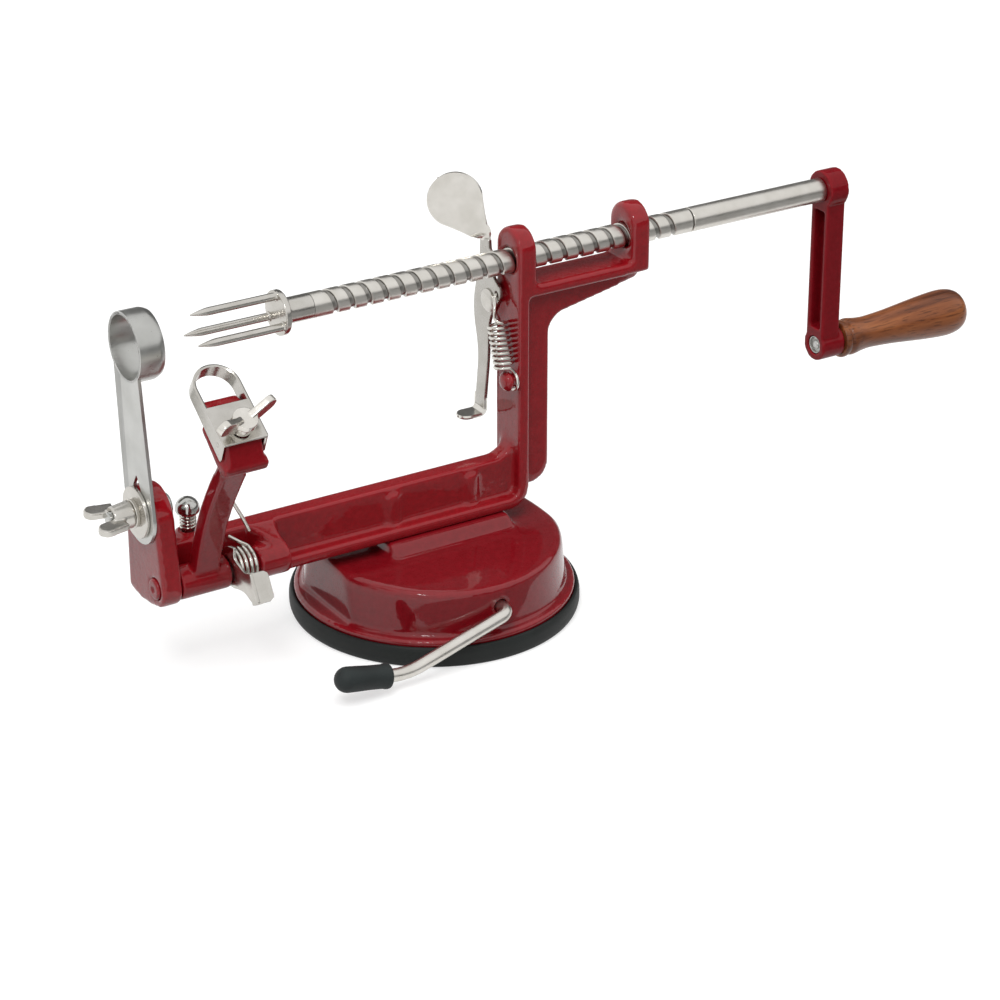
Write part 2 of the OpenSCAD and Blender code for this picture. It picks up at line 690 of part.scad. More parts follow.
// Release lever: a stamped plate with a tooth in the thread, a thumb paddle and a foot
module release_lever() {
  neck = [rivet_y + 3, shaft_z + shaft_r + 0.3];
  tooth = shaft_r - groove_h * 0.6;
  foot_z = rivet_z - leg_l;
  color(nickel) difference() {
    union() {
      slab_x(plate_x, plate_x + plate_t) polygon([[rivet_y + 3.4, foot_z], [rivet_y + 10.5, foot_z],
        [rivet_y + 7.2, rivet_z - 23], [rivet_y + 10.6, rivet_z - 10], [rivet_y + 10.8, rivet_z - 2],
        [rivet_y + 8.5, rivet_z + 7], [neck[0] + 3.5, shaft_z - 3], [neck[0] + 3, neck[1] + 1],
        [neck[0] - 3, neck[1] + 1], [neck[0] - 3.4, shaft_z + 1.8],
        [tooth, shaft_z + 0.5], [tooth, shaft_z - 0.5],
        [neck[0] - 3.4, shaft_z - 1.8], [hook[0] + 2.5, hook[1] + 5.6], [hook[0] - 2, hook[1] + 3],
        [hook[0] - 2.6, hook[1]], [hook[0] - 1.4, hook[1] - 2.6], [rivet_y - 3, rivet_z - 2.6],
        [rivet_y + 0.4, rivet_z - 10],
        [rivet_y + 0.6, rivet_z - 23]]);
      translate([plate_x - 6, rivet_y + 3.4, foot_z]) cube([6 + plate_t, 7.1, plate_t]);
      translate([plate_x - 6, rivet_y + 6.95, foot_z]) cylinder(r = 3.55, h = plate_t);
      translate([tooth_x, neck[0], neck[1]]) rotate([0, 0, -24]) rotate([-14, -37, 0])
        slab_y(plate_t) paddle_outline();
    }
    rod_x(plate_x - 1, plate_x + plate_t + 1, rivet_r + run, rivet_y, rivet_z);
    rod_x(plate_x - 1, plate_x + plate_t + 1, 1.2, hook[0], hook[1]);
  }
}

// Teardrop: a round end with two straight sides that meet at the neck
module paddle_outline() {
  mid = paddle_l - paddle_r;
  a = acos((paddle_r - 2) / mid);
  translate([0, mid]) circle(paddle_r);
  polygon([[-2, 0], [2, 0], [paddle_r * sin(a), mid - paddle_r * cos(a)],
    [-paddle_r * sin(a), mid - paddle_r * cos(a)]]);
}

module release_rivet() {
  color(nickel) union() {
    rod_x(plate_x - 1.6, plate_x - 0.1, rivet_head_r, rivet_y, rivet_z);
    rod_x(plate_x - 0.2, post_back, rivet_r, rivet_y, rivet_z);
  }
}

// Extension spring from the peg up to the lever: hook, coil and hook
release_mid = 3.4;
release_x = post_x - release_mid - release_wire / 2 - 0.4;
release_tilt = atan((hook[0] - peg[0]) / (hook[1] - peg[1]));
release_span = norm(hook - peg);
release_low = 5.2;
release_high = release_span - 10.5;
release_rise = (release_high - release_low) / (release_curls * 8);
peg_loop = peg_r + release_wire / 2 + 0.45;
peg_x = post_x - peg_neck / 2 - release_x;
eye_loop = 1.6;
eye_x = tooth_x - release_x;
release_route = concat(
  [for (a = [-200:30:40]) [peg_x, peg_loop * cos(a), peg_loop * sin(a)]],
  [[peg_x * 0.65, release_mid - 0.3, 3.7], [peg_x * 0.25, release_mid, 4.9]],
  [for (i = [0:release_curls * 8]) let(a = 90 + 45 * i)
    [release_mid * cos(a), release_mid * sin(a), release_low + release_rise * i]],
  [[-1.7, release_mid - 1, release_high + 1.4], [-1.1, 1, release_high + 3.2],
   [-0.2, 0.2, release_high + 5.2], [eye_x - eye_loop - 0.2, 0, release_high + 7.2]],
  [for (a = [180:-20:60]) [eye_x + eye_loop * cos(a), 0, release_span - eye_loop + eye_loop * sin(a)]]);

module release_spring() {
  color(nickel) translate([release_x, peg[0], peg[1]]) rotate([-release_tilt, 0, 0])
    wire(release_route, release_wire);
}

// Rod that the peeling arm swings on
module arm_rod() {
  color(red) rod_x(bracket_x - 0.8, boss_x - 1, arm_rod_d / 2, -rod_y, rod_z);
}

// Turns a drawing into the frame of the arm's head: X stays, Y runs up the slope, Z is square to it
module on_head() {
  translate([head_mid, head_y, head_z]) rotate([head_slope, 0, 0]) children();
}

// Middle line of the arm's stem, a smooth bend from the hub up to the head
stem_foot = [-rod_y - 0.5, rod_z];
stem_neck = [head_y + 6.6, head_z - 7.7];
function stem_at(t) = pow(1 - t, 3) * stem_foot + 3 * t * pow(1 - t, 2) * (stem_foot + [-8.8, 26])
  + 3 * t * t * (1 - t) * (stem_neck + [21.6, -30]) + pow(t, 3) * stem_neck;
function stem_side(t, w) = let(d = unit(stem_at(t + 0.01) - stem_at(t - 0.01)))
  stem_at(t) + w * [d[1], -d[0]];

// Cast arm: hub, bent stem and the head that carries the peeling blade
module peeling_arm() {
  steps = 14;
  full = head_w + 2 * sheet_t;
  core = head_w - 0.8;
  low = -sheet_t - head_t;
  under = function(u) -wall_h - side + wall_thin * (u + 1);
  color(red) difference() {
    union() {
      rod_x(hub_x, hub_end, hub_r, -rod_y, rod_z);
      slab_x(head_mid - stem_t / 2, head_mid + stem_t / 2) polygon(concat(
        [for (i = [0:steps]) stem_side(i / steps, -stem_w / 2)],
        [for (i = [steps:-1:0]) stem_side(i / steps, stem_w / 2)]));
      on_head() slab_x(-full / 2, full / 2) polygon([[-head_heel + 0.5, 0.6 - wall_h], [-1.7, 0.6 - wall_h],
        [-1.5, under(-1.5)], [plate_l - 2, under(plate_l - 2)], [plate_l - 2, low - 1.2], [-4.6, low - 3.6],
        [-head_heel + 0.2, low - 2.8]]);
      on_head() slab_x(-core / 2, core / 2) polygon([[-head_heel + 1.2, 0.5 - wall_h],
        [1.8, -sheet_t - side], [1.8, low], [-head_heel + 1.2, low]]);
      on_head() translate([0, 4, 0]) rotate([90, 0, 0]) linear_extrude(stem_w - 0.3) polygon([
        [-full / 2 + 0.4, low - 1.6], [full / 2 - 0.4, low - 1.6], [full / 2 - 1.4, low - 3.4],
        [stem_t / 2, low - 7.4], [-stem_t / 2, low - 7.4], [-full / 2 + 1.4, low - 3.4]]);
      on_head() slab_x(-core / 2, core / 2) polygon([[1.6, -sheet_t], [plate_l - 2.5, -sheet_t],
        [head_l, low / 2], [head_l, low], [1.6, low]]);
    }
    rod_x(hub_x - 1, hub_end + 1, arm_rod_d / 2 + run, -rod_y, rod_z);
    on_head() translate([0, thumb_u, low + 0.4]) cylinder(d = thumb_d + 2 * run, h = head_t + 4);
  }
}

// Torsion spring round the rod, between the arm's hub and the rod's boss
arm_mid = arm_rod_d / 2 + arm_wire / 2 + 2.4;
arm_pitch = arm_wire + 0.5;
arm_coil_x = boss_start - 1.9;
arm_steps = arm_curls * 8 - 2;
arm_last = arm_coil_x - arm_pitch * arm_steps / 8;
leg_in = rod_y - web_t / 2 - arm_wire / 2 - 0.5;      // where a leg lies along the bar's web
arm_route = concat(
  [for (k = [1, 0.66, 0.33]) [arm_coil_x - 4.3 * k, leg_in * k, arm_mid + 2.3 * k]],
  [for (i = [0:arm_steps]) let(a = 90 + 45 * i)
    [arm_coil_x - arm_pitch * i / 8, arm_mid * cos(a), arm_mid * sin(a)]],
  [[arm_last - 0.4, arm_mid - 0.2, 3.6], [arm_last - 1.4, leg_in, 9], [arm_last - 3, 4, 16],
   [arm_last - 4.4, -0.5, 24], [arm_last - 5, -3.9, 30.4], [arm_last - 4.6, -5.2, 32.6],
   [arm_last - 3.4, -5.6, 32.8], [arm_last - 2.2, -5.2, 31], [arm_last + 2.5, -3.7, 22.6],
   [arm_last + 6.4, -2.4, 15]]);

module arm_spring() {
  color(nickel) translate([0, -rod_y, rod_z]) wire(arm_route, arm_wire);
}

// Latch plate on the rod that holds the arm back: an ear, a forward arm and a thumb tab bent to the right
module arm_latch() {
  x0 = hub_end + side;
  plate = 1.2;
  tab_w = 7;
  tab = [[-rod_y - 18.4, rod_z + 6.2], [-rod_y - 23.9, rod_z - 3.4]];
  lean = unit(tab[1] - tab[0]);
  back = plate * [-lean[1], lean[0]];
  color(nickel) difference() {
    union() {
      rod_x(x0, x0 + plate, 6, -rod_y, rod_z);
      slab_x(x0, x0 + plate) polygon([[-rod_y + 4, rod_z + 4.4], [-rod_y, rod_z + 10],
        [-rod_y - 6.6, rod_z + 11.6], [-rod_y - 5.8, rod_z + 6.8], [-rod_y - 14, rod_z + 4.6], tab[0], tab[1],
        [-rod_y - 19.4, rod_z - 5], [-rod_y - 14, rod_z - 3], [-rod_y - 3, rod_z - 5.2]]);
      slab_x(x0, x0 + tab_w) polygon([tab[0], tab[1], tab[1] + back, tab[0] + back]);
    }
    rod_x(x0 - 1, x0 + plate + 1, arm_rod_d / 2 + run, -rod_y, rod_z);
  }
}

// Round-headed stop screw, set in a boss behind the arm
module stop_screw() {
  head_low = stop_top + stop_spring_h + 0.2;
  color(steel) translate([stop_x, stop_y, 0]) difference() {
    union() {
      translate([0, 0, stop_top - 11]) cylinder(d = stop_d, h = head_low + 1 - stop_top + 11);
      translate([0, 0, head_low]) rotate_extrude() polygon(concat([[0, 0], [stop_head_r - 0.6, 0]],
        arc([0, 1.6], stop_head_r, -8, 90, 8)));
    }
    translate([-6, -0.6, head_low + 4.6]) cube([12, 1.2, 3]);
  }
}

stop_mid = stop_d / 2 + stop_wire / 2 + 0.4;
stop_rise = (stop_spring_h - stop_wire - 0.4) / stop_curls;
stop_route = [for (i = [0:stop_curls * 8]) [stop_mid * cos(45 * i), stop_mid * sin(45 * i),
  stop_top + stop_wire / 2 + 0.2 + stop_rise * i / 8]];

module stop_spring() {
  color(nickel) translate([stop_x, stop_y, 0]) wire(stop_route, stop_wire);
}

// Sheet-metal peeling blade: a slotted plate, and a strap that makes its side walls and round cutting nose
module peel_blade() {
  half = head_w / 2 + sheet_t;
  front = 0.6;
  color(nickel) on_head() difference() {
    union() {
      translate([-half, 0, -sheet_t]) cube([2 * half, plate_l, sheet_t]);
      intersection() {
        translate([0, 0, -wall_h - 1]) linear_extrude(wall_h + 1) difference() {
          strap_outline(half);
          strap_outline(half - sheet_t);
        }
        slab_x(-half - 1, half + 1) polygon([[front, 1], [front - 1.6, -wall_h],
          [nose_u + half + 1, -wall_h + wall_thin * (nose_u + half + 2)], [nose_u + half + 1, 1]]);
      }
    }
    for (u = [thumb_u - 1, thumb_u + 3]) translate([0, u, -4]) cylinder(d = thumb_d + 1, h = 8);
    translate([-thumb_d / 2 - 0.5, thumb_u - 1, -4]) cube([thumb_d + 1, 4, 8]);
  }
}

module strap_outline(half) {
  translate([-half, -4]) square([2 * half, nose_u + 4]);
  translate([0, nose_u]) circle(half);
}

// Two flat wings beside a hub, standing along +Z from the hub's foot
module wings(hub_r1, hub_r2, hub_h, root, reach, lift) {
  wing_r = 3;
  cylinder(r1 = hub_r1, r2 = hub_r2, h = hub_h);
  for (s = [0, 180])
    rotate([0, 0, s]) translate([root, 0, 4.2]) rotate([0, -lift, 0]) rotate([90, 0, 0])
    linear_extrude(2.6, center = true) union() {
      translate([0, -wing_r]) square([reach, 2 * wing_r]);
      translate([reach, 0]) circle(wing_r);
    }
}

// Thumb screw that clamps the peeling blade on the arm's head
module wing_screw() {
  neck_r = 3.4;
  knob_r = 4.5;
  color(nickel) on_head() translate([0, thumb_u, 0]) {
    translate([0, 0, side]) rotate([0, 0, 17]) {
      wings(neck_r, neck_r, 5, 2.4, 8.6, 28);
      translate([0, 0, 4.4]) cylinder(r = knob_r, h = 2.6);
    }
    translate([0, 0, -head_t - sheet_t + 1]) cylinder(d = thumb_d, h = head_t + sheet_t + 1);
  }
}

// Slicing blade: a slotted stem that carries the coring ring round the screw's axis
module slicing_blade() {
  x1 = bracket_x - 0.05;
  foot = [blade_bolt_y, blade_bolt_z];
  half = blade_w / 2;
  top_half = 9.5;
  color(steel) difference() {
    union() {
      slab_x(x1 - blade_t, x1) union() {
        translate(foot) circle(half);
        polygon([foot + [-half, 0], foot + [half, 0], [top_half, shaft_z - 8], [-top_half, shaft_z - 8]]);
        translate([0, shaft_z]) circle(ring_r);
      }
      rod_x(x1 - blade_t, x1 - blade_t + ring_l, ring_r, 0, shaft_z);
    }
    rod_x(x1 - blade_t - 1, x1 + ring_l, ring_r - ring_wall, 0, shaft_z);
    slab_x(x1 - blade_t - 1, x1 + 1) union() {
      for (z = [4 - slot_l / 2, slot_l / 2]) translate(foot + [0, z]) circle(blade_bolt_d / 2 + side);
      translate(foot + [-blade_bolt_d / 2 - side, 4 - slot_l / 2])
        square([blade_bolt_d + 2 * side, slot_l - 4]);
    }
  }
}

// Places of the stack on the blade's bolt, outwards from the blade
washer_in = bracket_x - 0.1 - blade_t;
washer_t = 1.5;
lock_t = 1.7;
nut_in = washer_in - washer_t - lock_t;

module blade_bolt() {
  color(steel) union() {
    rod_x(bracket_in, bracket_in + 2.6, 5, blade_bolt_y, blade_bolt_z);
    rod_x(nut_in - 9, bracket_in + 1, blade_bolt_d / 2, blade_bolt_y, blade_bolt_z);
  }
}

module ring_on_bolt(x0, x1, r) {
  color(nickel) difference() {
    rod_x(x0, x1, r, blade_bolt_y, blade_bolt_z);
    rod_x(x0 - 1, x1 + 1, blade_bolt_d / 2 + 0.1, blade_bolt_y, blade_bolt_z);
  }
}

module flat_washer() {
  ring_on_bolt(washer_in - washer_t, washer_in, 9.6);
}

module lock_washer() {
  ring_on_bolt(nut_in, washer_in - washer_t, 6.4);
}

module wing_nut() {
  color(nickel) difference() {
    translate([nut_in - 0.05, blade_bolt_y, blade_bolt_z])
      rotate([8, 0, 0]) rotate([0, -90, 0]) rotate([0, 0, 90]) wings(5.2, 4.2, 7.4, 4.8, 7.8, 80);
    rod_x(nut_in - 20, nut_in + 1, blade_bolt_d / 2 + run, blade_bolt_y, blade_bolt_z);
  }
}

echo(release_spring_gap = least_gap(release_route, release_wire, 6));
echo(arm_spring_gap = least_gap(arm_route, arm_wire, 6));
echo(stop_spring_gap = least_gap(stop_route, stop_wire, 6));

frame_casting();
base_housing();
frame_screws();
suction_pad();
lift_stirrup();
lever_rod();
lift_cam();
lever_cap();
feed_shaft();
spacer_sleeve();
apple_fork();
crank_arm();
handle_bolt();
handle_grip();
release_lever();
release_rivet();
release_spring();
arm_rod();
peeling_arm();
arm_spring();
arm_latch();
stop_screw();
stop_spring();
peel_blade();
wing_screw();
slicing_blade();
blade_bolt();
flat_washer();
lock_washer();
wing_nut();
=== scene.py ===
import math
import bmesh
import bpy
import numpy as np
from mathutils import Matrix, Vector
from mathutils.geometry import tessellate_polygon


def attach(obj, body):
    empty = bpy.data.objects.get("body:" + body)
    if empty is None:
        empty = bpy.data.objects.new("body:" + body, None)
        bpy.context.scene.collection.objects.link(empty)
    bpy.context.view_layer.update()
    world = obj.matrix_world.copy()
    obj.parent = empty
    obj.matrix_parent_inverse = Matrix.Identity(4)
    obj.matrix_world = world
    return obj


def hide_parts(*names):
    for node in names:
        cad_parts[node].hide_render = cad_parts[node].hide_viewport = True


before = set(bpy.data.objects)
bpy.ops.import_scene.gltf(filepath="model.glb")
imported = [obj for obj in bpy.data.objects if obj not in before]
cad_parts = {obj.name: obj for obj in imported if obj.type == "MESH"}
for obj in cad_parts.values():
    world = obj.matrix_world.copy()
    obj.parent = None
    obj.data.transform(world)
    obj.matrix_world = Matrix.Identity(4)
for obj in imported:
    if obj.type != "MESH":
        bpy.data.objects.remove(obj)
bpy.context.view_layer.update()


# Camera, at the height and side from which the machine is photographed: a long lens
# from the front left, looking down at the feed screw.
def placed(name, data):
    thing = bpy.data.objects.new(name, data)
    bpy.context.scene.collection.objects.link(thing)
    return thing


azimuth, elevation = math.radians(-31.85), math.radians(25.52)
back = Vector((math.sin(azimuth) * math.cos(elevation), -math.cos(azimuth) * math.cos(elevation),
               math.sin(elevation)))
eye = placed("eye", bpy.data.cameras.new("eye"))
eye.location = (-0.5677, -0.9615, 0.5754)
eye.rotation_mode = "QUATERNION"
eye.rotation_quaternion = (-back).to_track_quat("-Z", "Y")
eye.data.lens = 117.795
eye.data.sensor_width = 36
eye.data.clip_start, eye.data.clip_end = 0.01, 50
bpy.context.scene.camera = eye
bpy.context.scene.view_settings.view_transform = "Standard"


# Studio: a white table that runs up into a white room, one large soft lamp above the left
# shoulder, two weaker ones, and a small bright one for the sparks on the enamel's edges.
def soft_lamp(name, place, aim, size, power, mirrored=False):
    lamp = placed(name, bpy.data.lights.new(name, "AREA"))
    lamp.data.shape, lamp.data.size, lamp.data.energy = "DISK", size, power
    lamp.location = place
    lamp.rotation_mode = "QUATERNION"
    lamp.rotation_quaternion = (Vector(aim) - Vector(place)).to_track_quat("-Z", "Y")
    lamp.visible_glossy = mirrored


soft_lamp("overhead", (-0.5, -0.5, 1.5), (0, 0, 0.08), 1.1, 17)
soft_lamp("right_side", (1.3, -0.5, 0.8), (0.05, 0, 0.1), 0.7, 5)
soft_lamp("rear", (-0.3, 1.2, 1.0), (0, 0, 0.1), 0.8, 5)
soft_lamp("spark", (-0.9, -1.1, 1.5), (0, 0, 0.08), 0.3, 5, mirrored=True)


# A node, how it is set, and what goes into each of its inputs: a value or another's output.
def fed(t, kind, into, **ways):
    node = t.nodes.new("ShaderNode" + kind)
    for name, way in ways.items():
        setattr(node, name, way)
    for name, value in into.items():
        if isinstance(value, bpy.types.NodeSocket):
            t.links.new(value, node.inputs[name])
        else:
            node.inputs[name].default_value = value
    return node


# A pattern as two colours, one up to its low level and the other from its high level.
def two_tone(t, pattern, low, dark, high, light):
    ramp = fed(t, "ValToRGB", {0: pattern})
    ramp.color_ramp.elements[0].position, ramp.color_ramp.elements[0].color = low, (*dark, 1)
    ramp.color_ramp.elements[1].position, ramp.color_ramp.elements[1].color = high, (*light, 1)
    return ramp.outputs["Color"]


# Anything of the room that is looked at, straight or in metal, is white; what lights the
# machine from there is greyer towards the table.
def seen_or_mirrored(t):
    ray = t.nodes.new("ShaderNodeLightPath")
    either = fed(t, "Math", {0: ray.outputs["Is Camera Ray"], 1: ray.outputs["Is Glossy Ray"]},
                 operation="MAXIMUM")
    return fed(t, "Math", {0: either.outputs[0], 1: ray.outputs["Is Transmission Ray"]},
               operation="MAXIMUM").outputs[0]


world = bpy.data.worlds.new("white_room")
bpy.context.scene.world = world
world.use_nodes = True
sky = world.node_tree
sky.nodes.clear()
sky_way = sky.nodes.new("ShaderNodeTexCoord").outputs["Generated"]
sky_height = fed(sky, "SeparateXYZ", {0: sky_way}).outputs["Z"]
sky_grey = two_tone(sky, sky_height, 0.0, (0.20, 0.20, 0.205), 0.75, (0.72, 0.72, 0.71))
sky_light = fed(sky, "Background", {"Color": sky_grey})
sky_seen = fed(sky, "Background", {"Color": (1, 1, 1, 1)})
sky_mix = fed(sky, "MixShader", {0: seen_or_mirrored(sky), 1: sky_light.outputs[0], 2: sky_seen.outputs[0]})
fed(sky, "OutputWorld", {0: sky_mix.outputs[0]})

table_half, table_grey, mirrored_glow, seen_glow = 4, 0.46, 0.42, 0.16
table_mesh = bpy.data.meshes.new("table_top")
table_mesh.from_pydata([(x * table_half, y * table_half, 0) for x, y in ((-1, -1), (1, -1), (1, 1), (-1, 1))],
                       [], [(0, 1, 2, 3)])
table_top = placed("table_top", table_mesh)
white_table = bpy.data.materials.new("white_table")
white_table.use_nodes = True
white = white_table.node_tree
paper = white.nodes["Principled BSDF"]
paper.inputs["Base Color"].default_value = (table_grey, table_grey, table_grey, 1)
paper.inputs["Roughness"].default_value = 0.9
paper.inputs["Specular IOR Level"].default_value = 0.1
glow_level = fed(white, "Math", {0: seen_or_mirrored(white), 1: mirrored_glow}, operation="MULTIPLY")
straight = white.nodes.new("ShaderNodeLightPath").outputs["Is Camera Ray"]
fade = fed(white, "Math", {0: straight, 1: seen_glow, 2: glow_level.outputs[0]}, operation="MULTIPLY_ADD")
glow = fed(white, "Emission", {"Color": (1, 1, 1, 1), "Strength": fade.outputs[0]})
glow_add = fed(white, "AddShader", {0: paper.outputs[0], 1: glow.outputs[0]})
white.links.new(glow_add.outputs[0], white.nodes["Material Output"].inputs["Surface"])
table_mesh.materials.append(white_table)

# Grey cloth to the right of the table, low in front and higher behind, and along the floor
# there. Only shiny faces mirror it: the enamel's front and top stay deep, and round bright
# parts get a dark line.
screen_mesh = bpy.data.meshes.new("grey_screen")
screen_far, screen_low, screen_more, floor_far = 2.4, 0.6, 2.0, 2.38
screen_turns = range(4, 171, 6)
screen_points, screen_faces = [], []
for k, turn in enumerate(screen_turns):
    x, y = screen_far * math.sin(math.radians(turn)), -screen_far * math.cos(math.radians(turn))
    rise = screen_low + screen_more * min(max((turn - 85) / 40, 0), 1)
    screen_points += [(x, y, 0.0), (x, y, rise)]
    if k:
        screen_faces.append((2 * k - 2, 2 * k, 2 * k + 1, 2 * k - 1))
first = len(screen_points)
screen_points += [(x, y, 0.002) for x, y in (
    (-0.075, -0.075), (-0.02, -floor_far), (floor_far, -floor_far), (floor_far, -0.075))]
screen_faces.append(tuple(range(first, first + 4)))
screen_mesh.from_pydata(screen_points, [], screen_faces)
grey_screen = placed("grey_screen", screen_mesh)
cloth = bpy.data.materials.new("grey_cloth")
cloth.use_nodes = True
weave = cloth.node_tree.nodes["Principled BSDF"]
cloth_grey = 0.27
weave.inputs["Base Color"].default_value = (cloth_grey, cloth_grey, cloth_grey, 1)
weave.inputs["Roughness"].default_value = 1.0
weave.inputs["Specular IOR Level"].default_value = 0.0
screen_mesh.materials.append(cloth)
grey_screen.visible_camera = grey_screen.visible_diffuse = grey_screen.visible_shadow = False


# Suction pad: one moulding of dark rubber, a thin floor with a thick ring and a lip that
# is stretched over the base's flange.
mm = 0.001


# A place on the machine, in millimetres, and the way a piece made along Z points there.
def stand(place, way=(0, 0, 1)):
    aim = Vector(way).to_track_quat("Z", "Y").to_matrix().to_4x4()
    return Matrix.Translation(Vector(place) * mm) @ aim @ Matrix.Scale(mm, 4)


# Rounds the corners of a drawn line; a corner's own radius may stand third in its point.
def eased(line, r, closed=False, steps=4):
    n = len(line)
    out = []
    for i, corner in enumerate(line):
        here = np.array(corner[:2], float)
        if not closed and i in (0, n - 1):
            out.append(tuple(here))
            continue
        before = np.array(line[i - 1][:2], float) - here
        after = np.array(line[(i + 1) % n][:2], float) - here
        a, b = np.linalg.norm(before), np.linalg.norm(after)
        cut = min(corner[2] if len(corner) > 2 else r, 0.49 * a, 0.49 * b)
        start, end = here + before / a * cut, here + after / b * cut
        for k in range(steps + 1):
            t = k / steps
            out.append(tuple((1 - t) ** 2 * start + 2 * t * (1 - t) * here + t * t * end))
    return out


def made(name, points, faces, crease=38):
    mesh = bpy.data.meshes.new(name)
    mesh.from_pydata([tuple(p) for p in points], [], faces)
    bm = bmesh.new()
    bm.from_mesh(mesh)
    bmesh.ops.remove_doubles(bm, verts=bm.verts, dist=2e-7)
    bmesh.ops.dissolve_degenerate(bm, edges=bm.edges, dist=1e-7)
    bmesh.ops.recalc_face_normals(bm, faces=bm.faces)
    bm.to_mesh(mesh)
    bm.free()
    mesh.polygons.foreach_set("use_smooth", [True] * len(mesh.polygons))
    mesh.set_sharp_from_angle(angle=math.radians(crease))
    return placed(name, mesh)


# A shape turned about its axis from a line of (radius, height).
def spun(name, line, spot, closed=False, sides=96):
    points, rows, faces = [], [], []
    turns = [2 * math.pi * j / sides for j in range(sides)]
    for r, h in line:
        count = 1 if r < 1e-6 else sides
        rows.append(range(len(points), len(points) + count))
        points += [spot @ Vector((r * math.cos(a), r * math.sin(a), h)) for a in turns[:count]]
    for a, b in zip(rows, rows[1:] if not closed else list(rows[1:]) + [rows[0]]):
        for j in range(sides):
            k = (j + 1) % sides
            corners = [a[j % len(a)], a[k % len(a)], b[k % len(b)], b[j % len(b)]]
            corners = list(dict.fromkeys(corners))
            if len(corners) > 2:
                faces.append(corners)
    return made(name, points, faces)


# The start of a finish: the material, its nodes, its surface and the place on the piece.
def new_finish(name):
    finish = bpy.data.materials.new(name)
    finish.use_nodes = True
    t = finish.node_tree
    return finish, t, t.nodes["Principled BSDF"], t.nodes.new("ShaderNodeTexCoord").outputs["Object"]


# A cloudy pattern over a piece, the same as a value between two others, and as fine relief,
# on its own or on top of another.
def cloudy(t, where, scale, detail):
    return fed(t, "TexNoise", {"Scale": scale, "Detail": detail, "Vector": where}).outputs["Fac"]


def between(t, pattern, low, high):
    return fed(t, "MapRange", {"Value": pattern, "To Min": low, "To Max": high}).outputs["Result"]


def relief(t, pattern, depth, strength, under=None):
    bump = fed(t, "Bump", {"Distance": depth, "Strength": strength, "Height": pattern})
    if under:
        t.links.new(under, bump.inputs["Normal"])
    return bump.outputs["Normal"]


def soft_rubber(name, colour, wear_and_edge_highlight):
    rubber, t, skin, place = new_finish(name)
    bloom = cloudy(t, place, 70, 5)
    t.links.new(two_tone(t, bloom, 0.32, colour, 0.72, wear_and_edge_highlight), skin.inputs["Base Color"])
    t.links.new(between(t, bloom, 0.46, 0.66), skin.inputs["Roughness"])
    t.links.new(relief(t, cloudy(t, place, 1800, 3), 0.0002, 0.12), skin.inputs["Normal"])
    skin.inputs["Specular IOR Level"].default_value = 0.3
    return rubber


pad_line = eased([(0, 0), (46, 0), (47, 1.2), (49.5, 1.2), (50.5, 0), (54.6, 0, 1.0), (55.6, 2.2, 1.4),
                  (55.6, 6.2, 1.6), (54.9, 8.2, 0.9), (53.72, 8.2), (53.72, 7.0), (45.6, 7.0),
                  (43.6, 2.5), (0, 2.5)], 0.7)
pad = spun("suction_pad_rubber", pad_line, stand((0, 0, 0)), sides=144)
pad.data.materials.append(soft_rubber("pad_rubber", (0.006, 0.0075, 0.007), (0.012, 0.0145, 0.0135)))
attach(pad, "frame")
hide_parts("suction_pad")


# Base: an iron casting, a dome with two flat sides, a flange and a pedestal, in deep red
# enamel. The mould leaves its edges round and its corners filled.
def red_enamel(name, sand, gloss_coat, depth=1.0):
    enamel, t, paint, place = new_finish(name)
    shade = two_tone(t, cloudy(t, place, 420, 5), 0.3, (0.172 * depth, 0.0033, 0.0062),
                     0.7, (0.214 * depth, 0.0047, 0.0088))
    # Painted highlight: where the surface is sharper, by its pointiness, the red is mixed to a lighter
    # pink-red that stands for the lamps' sheen along the enamel's rounded edges.
    pointed = t.nodes.new("ShaderNodeNewGeometry").outputs["Pointiness"]
    wear_and_edge_highlight = two_tone(t, pointed, 0.50, (0, 0, 0), 0.62, (1, 1, 1))
    edge_highlight_mix = fed(t, "Mix", {0: wear_and_edge_highlight, 6: shade, 7: (0.30, 0.010, 0.017, 1)}, data_type="RGBA")
    t.links.new(edge_highlight_mix.outputs[2], paint.inputs["Base Color"])
    grain = cloudy(t, place, 1500, 2)
    skin = relief(t, cloudy(t, place, 420, 4), 0.0008, 0.26 * sand)
    pool = relief(t, cloudy(t, place, 190, 2), 0.0006, 0.20 * sand)
    t.links.new(between(t, grain, 0.22, 0.36), paint.inputs["Roughness"])
    t.links.new(relief(t, grain, 0.0003, 0.06 * sand, skin), paint.inputs["Normal"])
    t.links.new(pool, paint.inputs["Coat Normal"])
    paint.inputs["Specular IOR Level"].default_value = 0.02
    paint.inputs["Coat Weight"].default_value = gloss_coat
    paint.inputs["Coat Roughness"].default_value = 0.06
    return enamel


# A copy of a solid with its points joined up, and if wanted its flat faces made whole.
def node_copy(node, name, flatten=False):
    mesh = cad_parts[node].data.copy()
    mesh.materials.clear()
    bm = bmesh.new()
    bm.from_mesh(mesh)
    bmesh.ops.remove_doubles(bm, verts=bm.verts, dist=1e-6)
    if flatten:
        bmesh.ops.dissolve_limit(bm, angle_limit=math.radians(1), verts=bm.verts, edges=bm.edges)
    bm.to_mesh(mesh)
    bm.free()
    return placed(name, mesh)


# Turns a copy and its modifiers into one plain mesh.
def settled(piece):
    rough_mesh = piece.data
    bpy.context.view_layer.update()
    done = piece.evaluated_get(bpy.context.evaluated_depsgraph_get())
    mesh = bpy.data.meshes.new_from_object(done)
    piece.modifiers.clear()
    piece.data = mesh
    mesh.name = piece.name
    bpy.data.meshes.remove(rough_mesh)
    return mesh


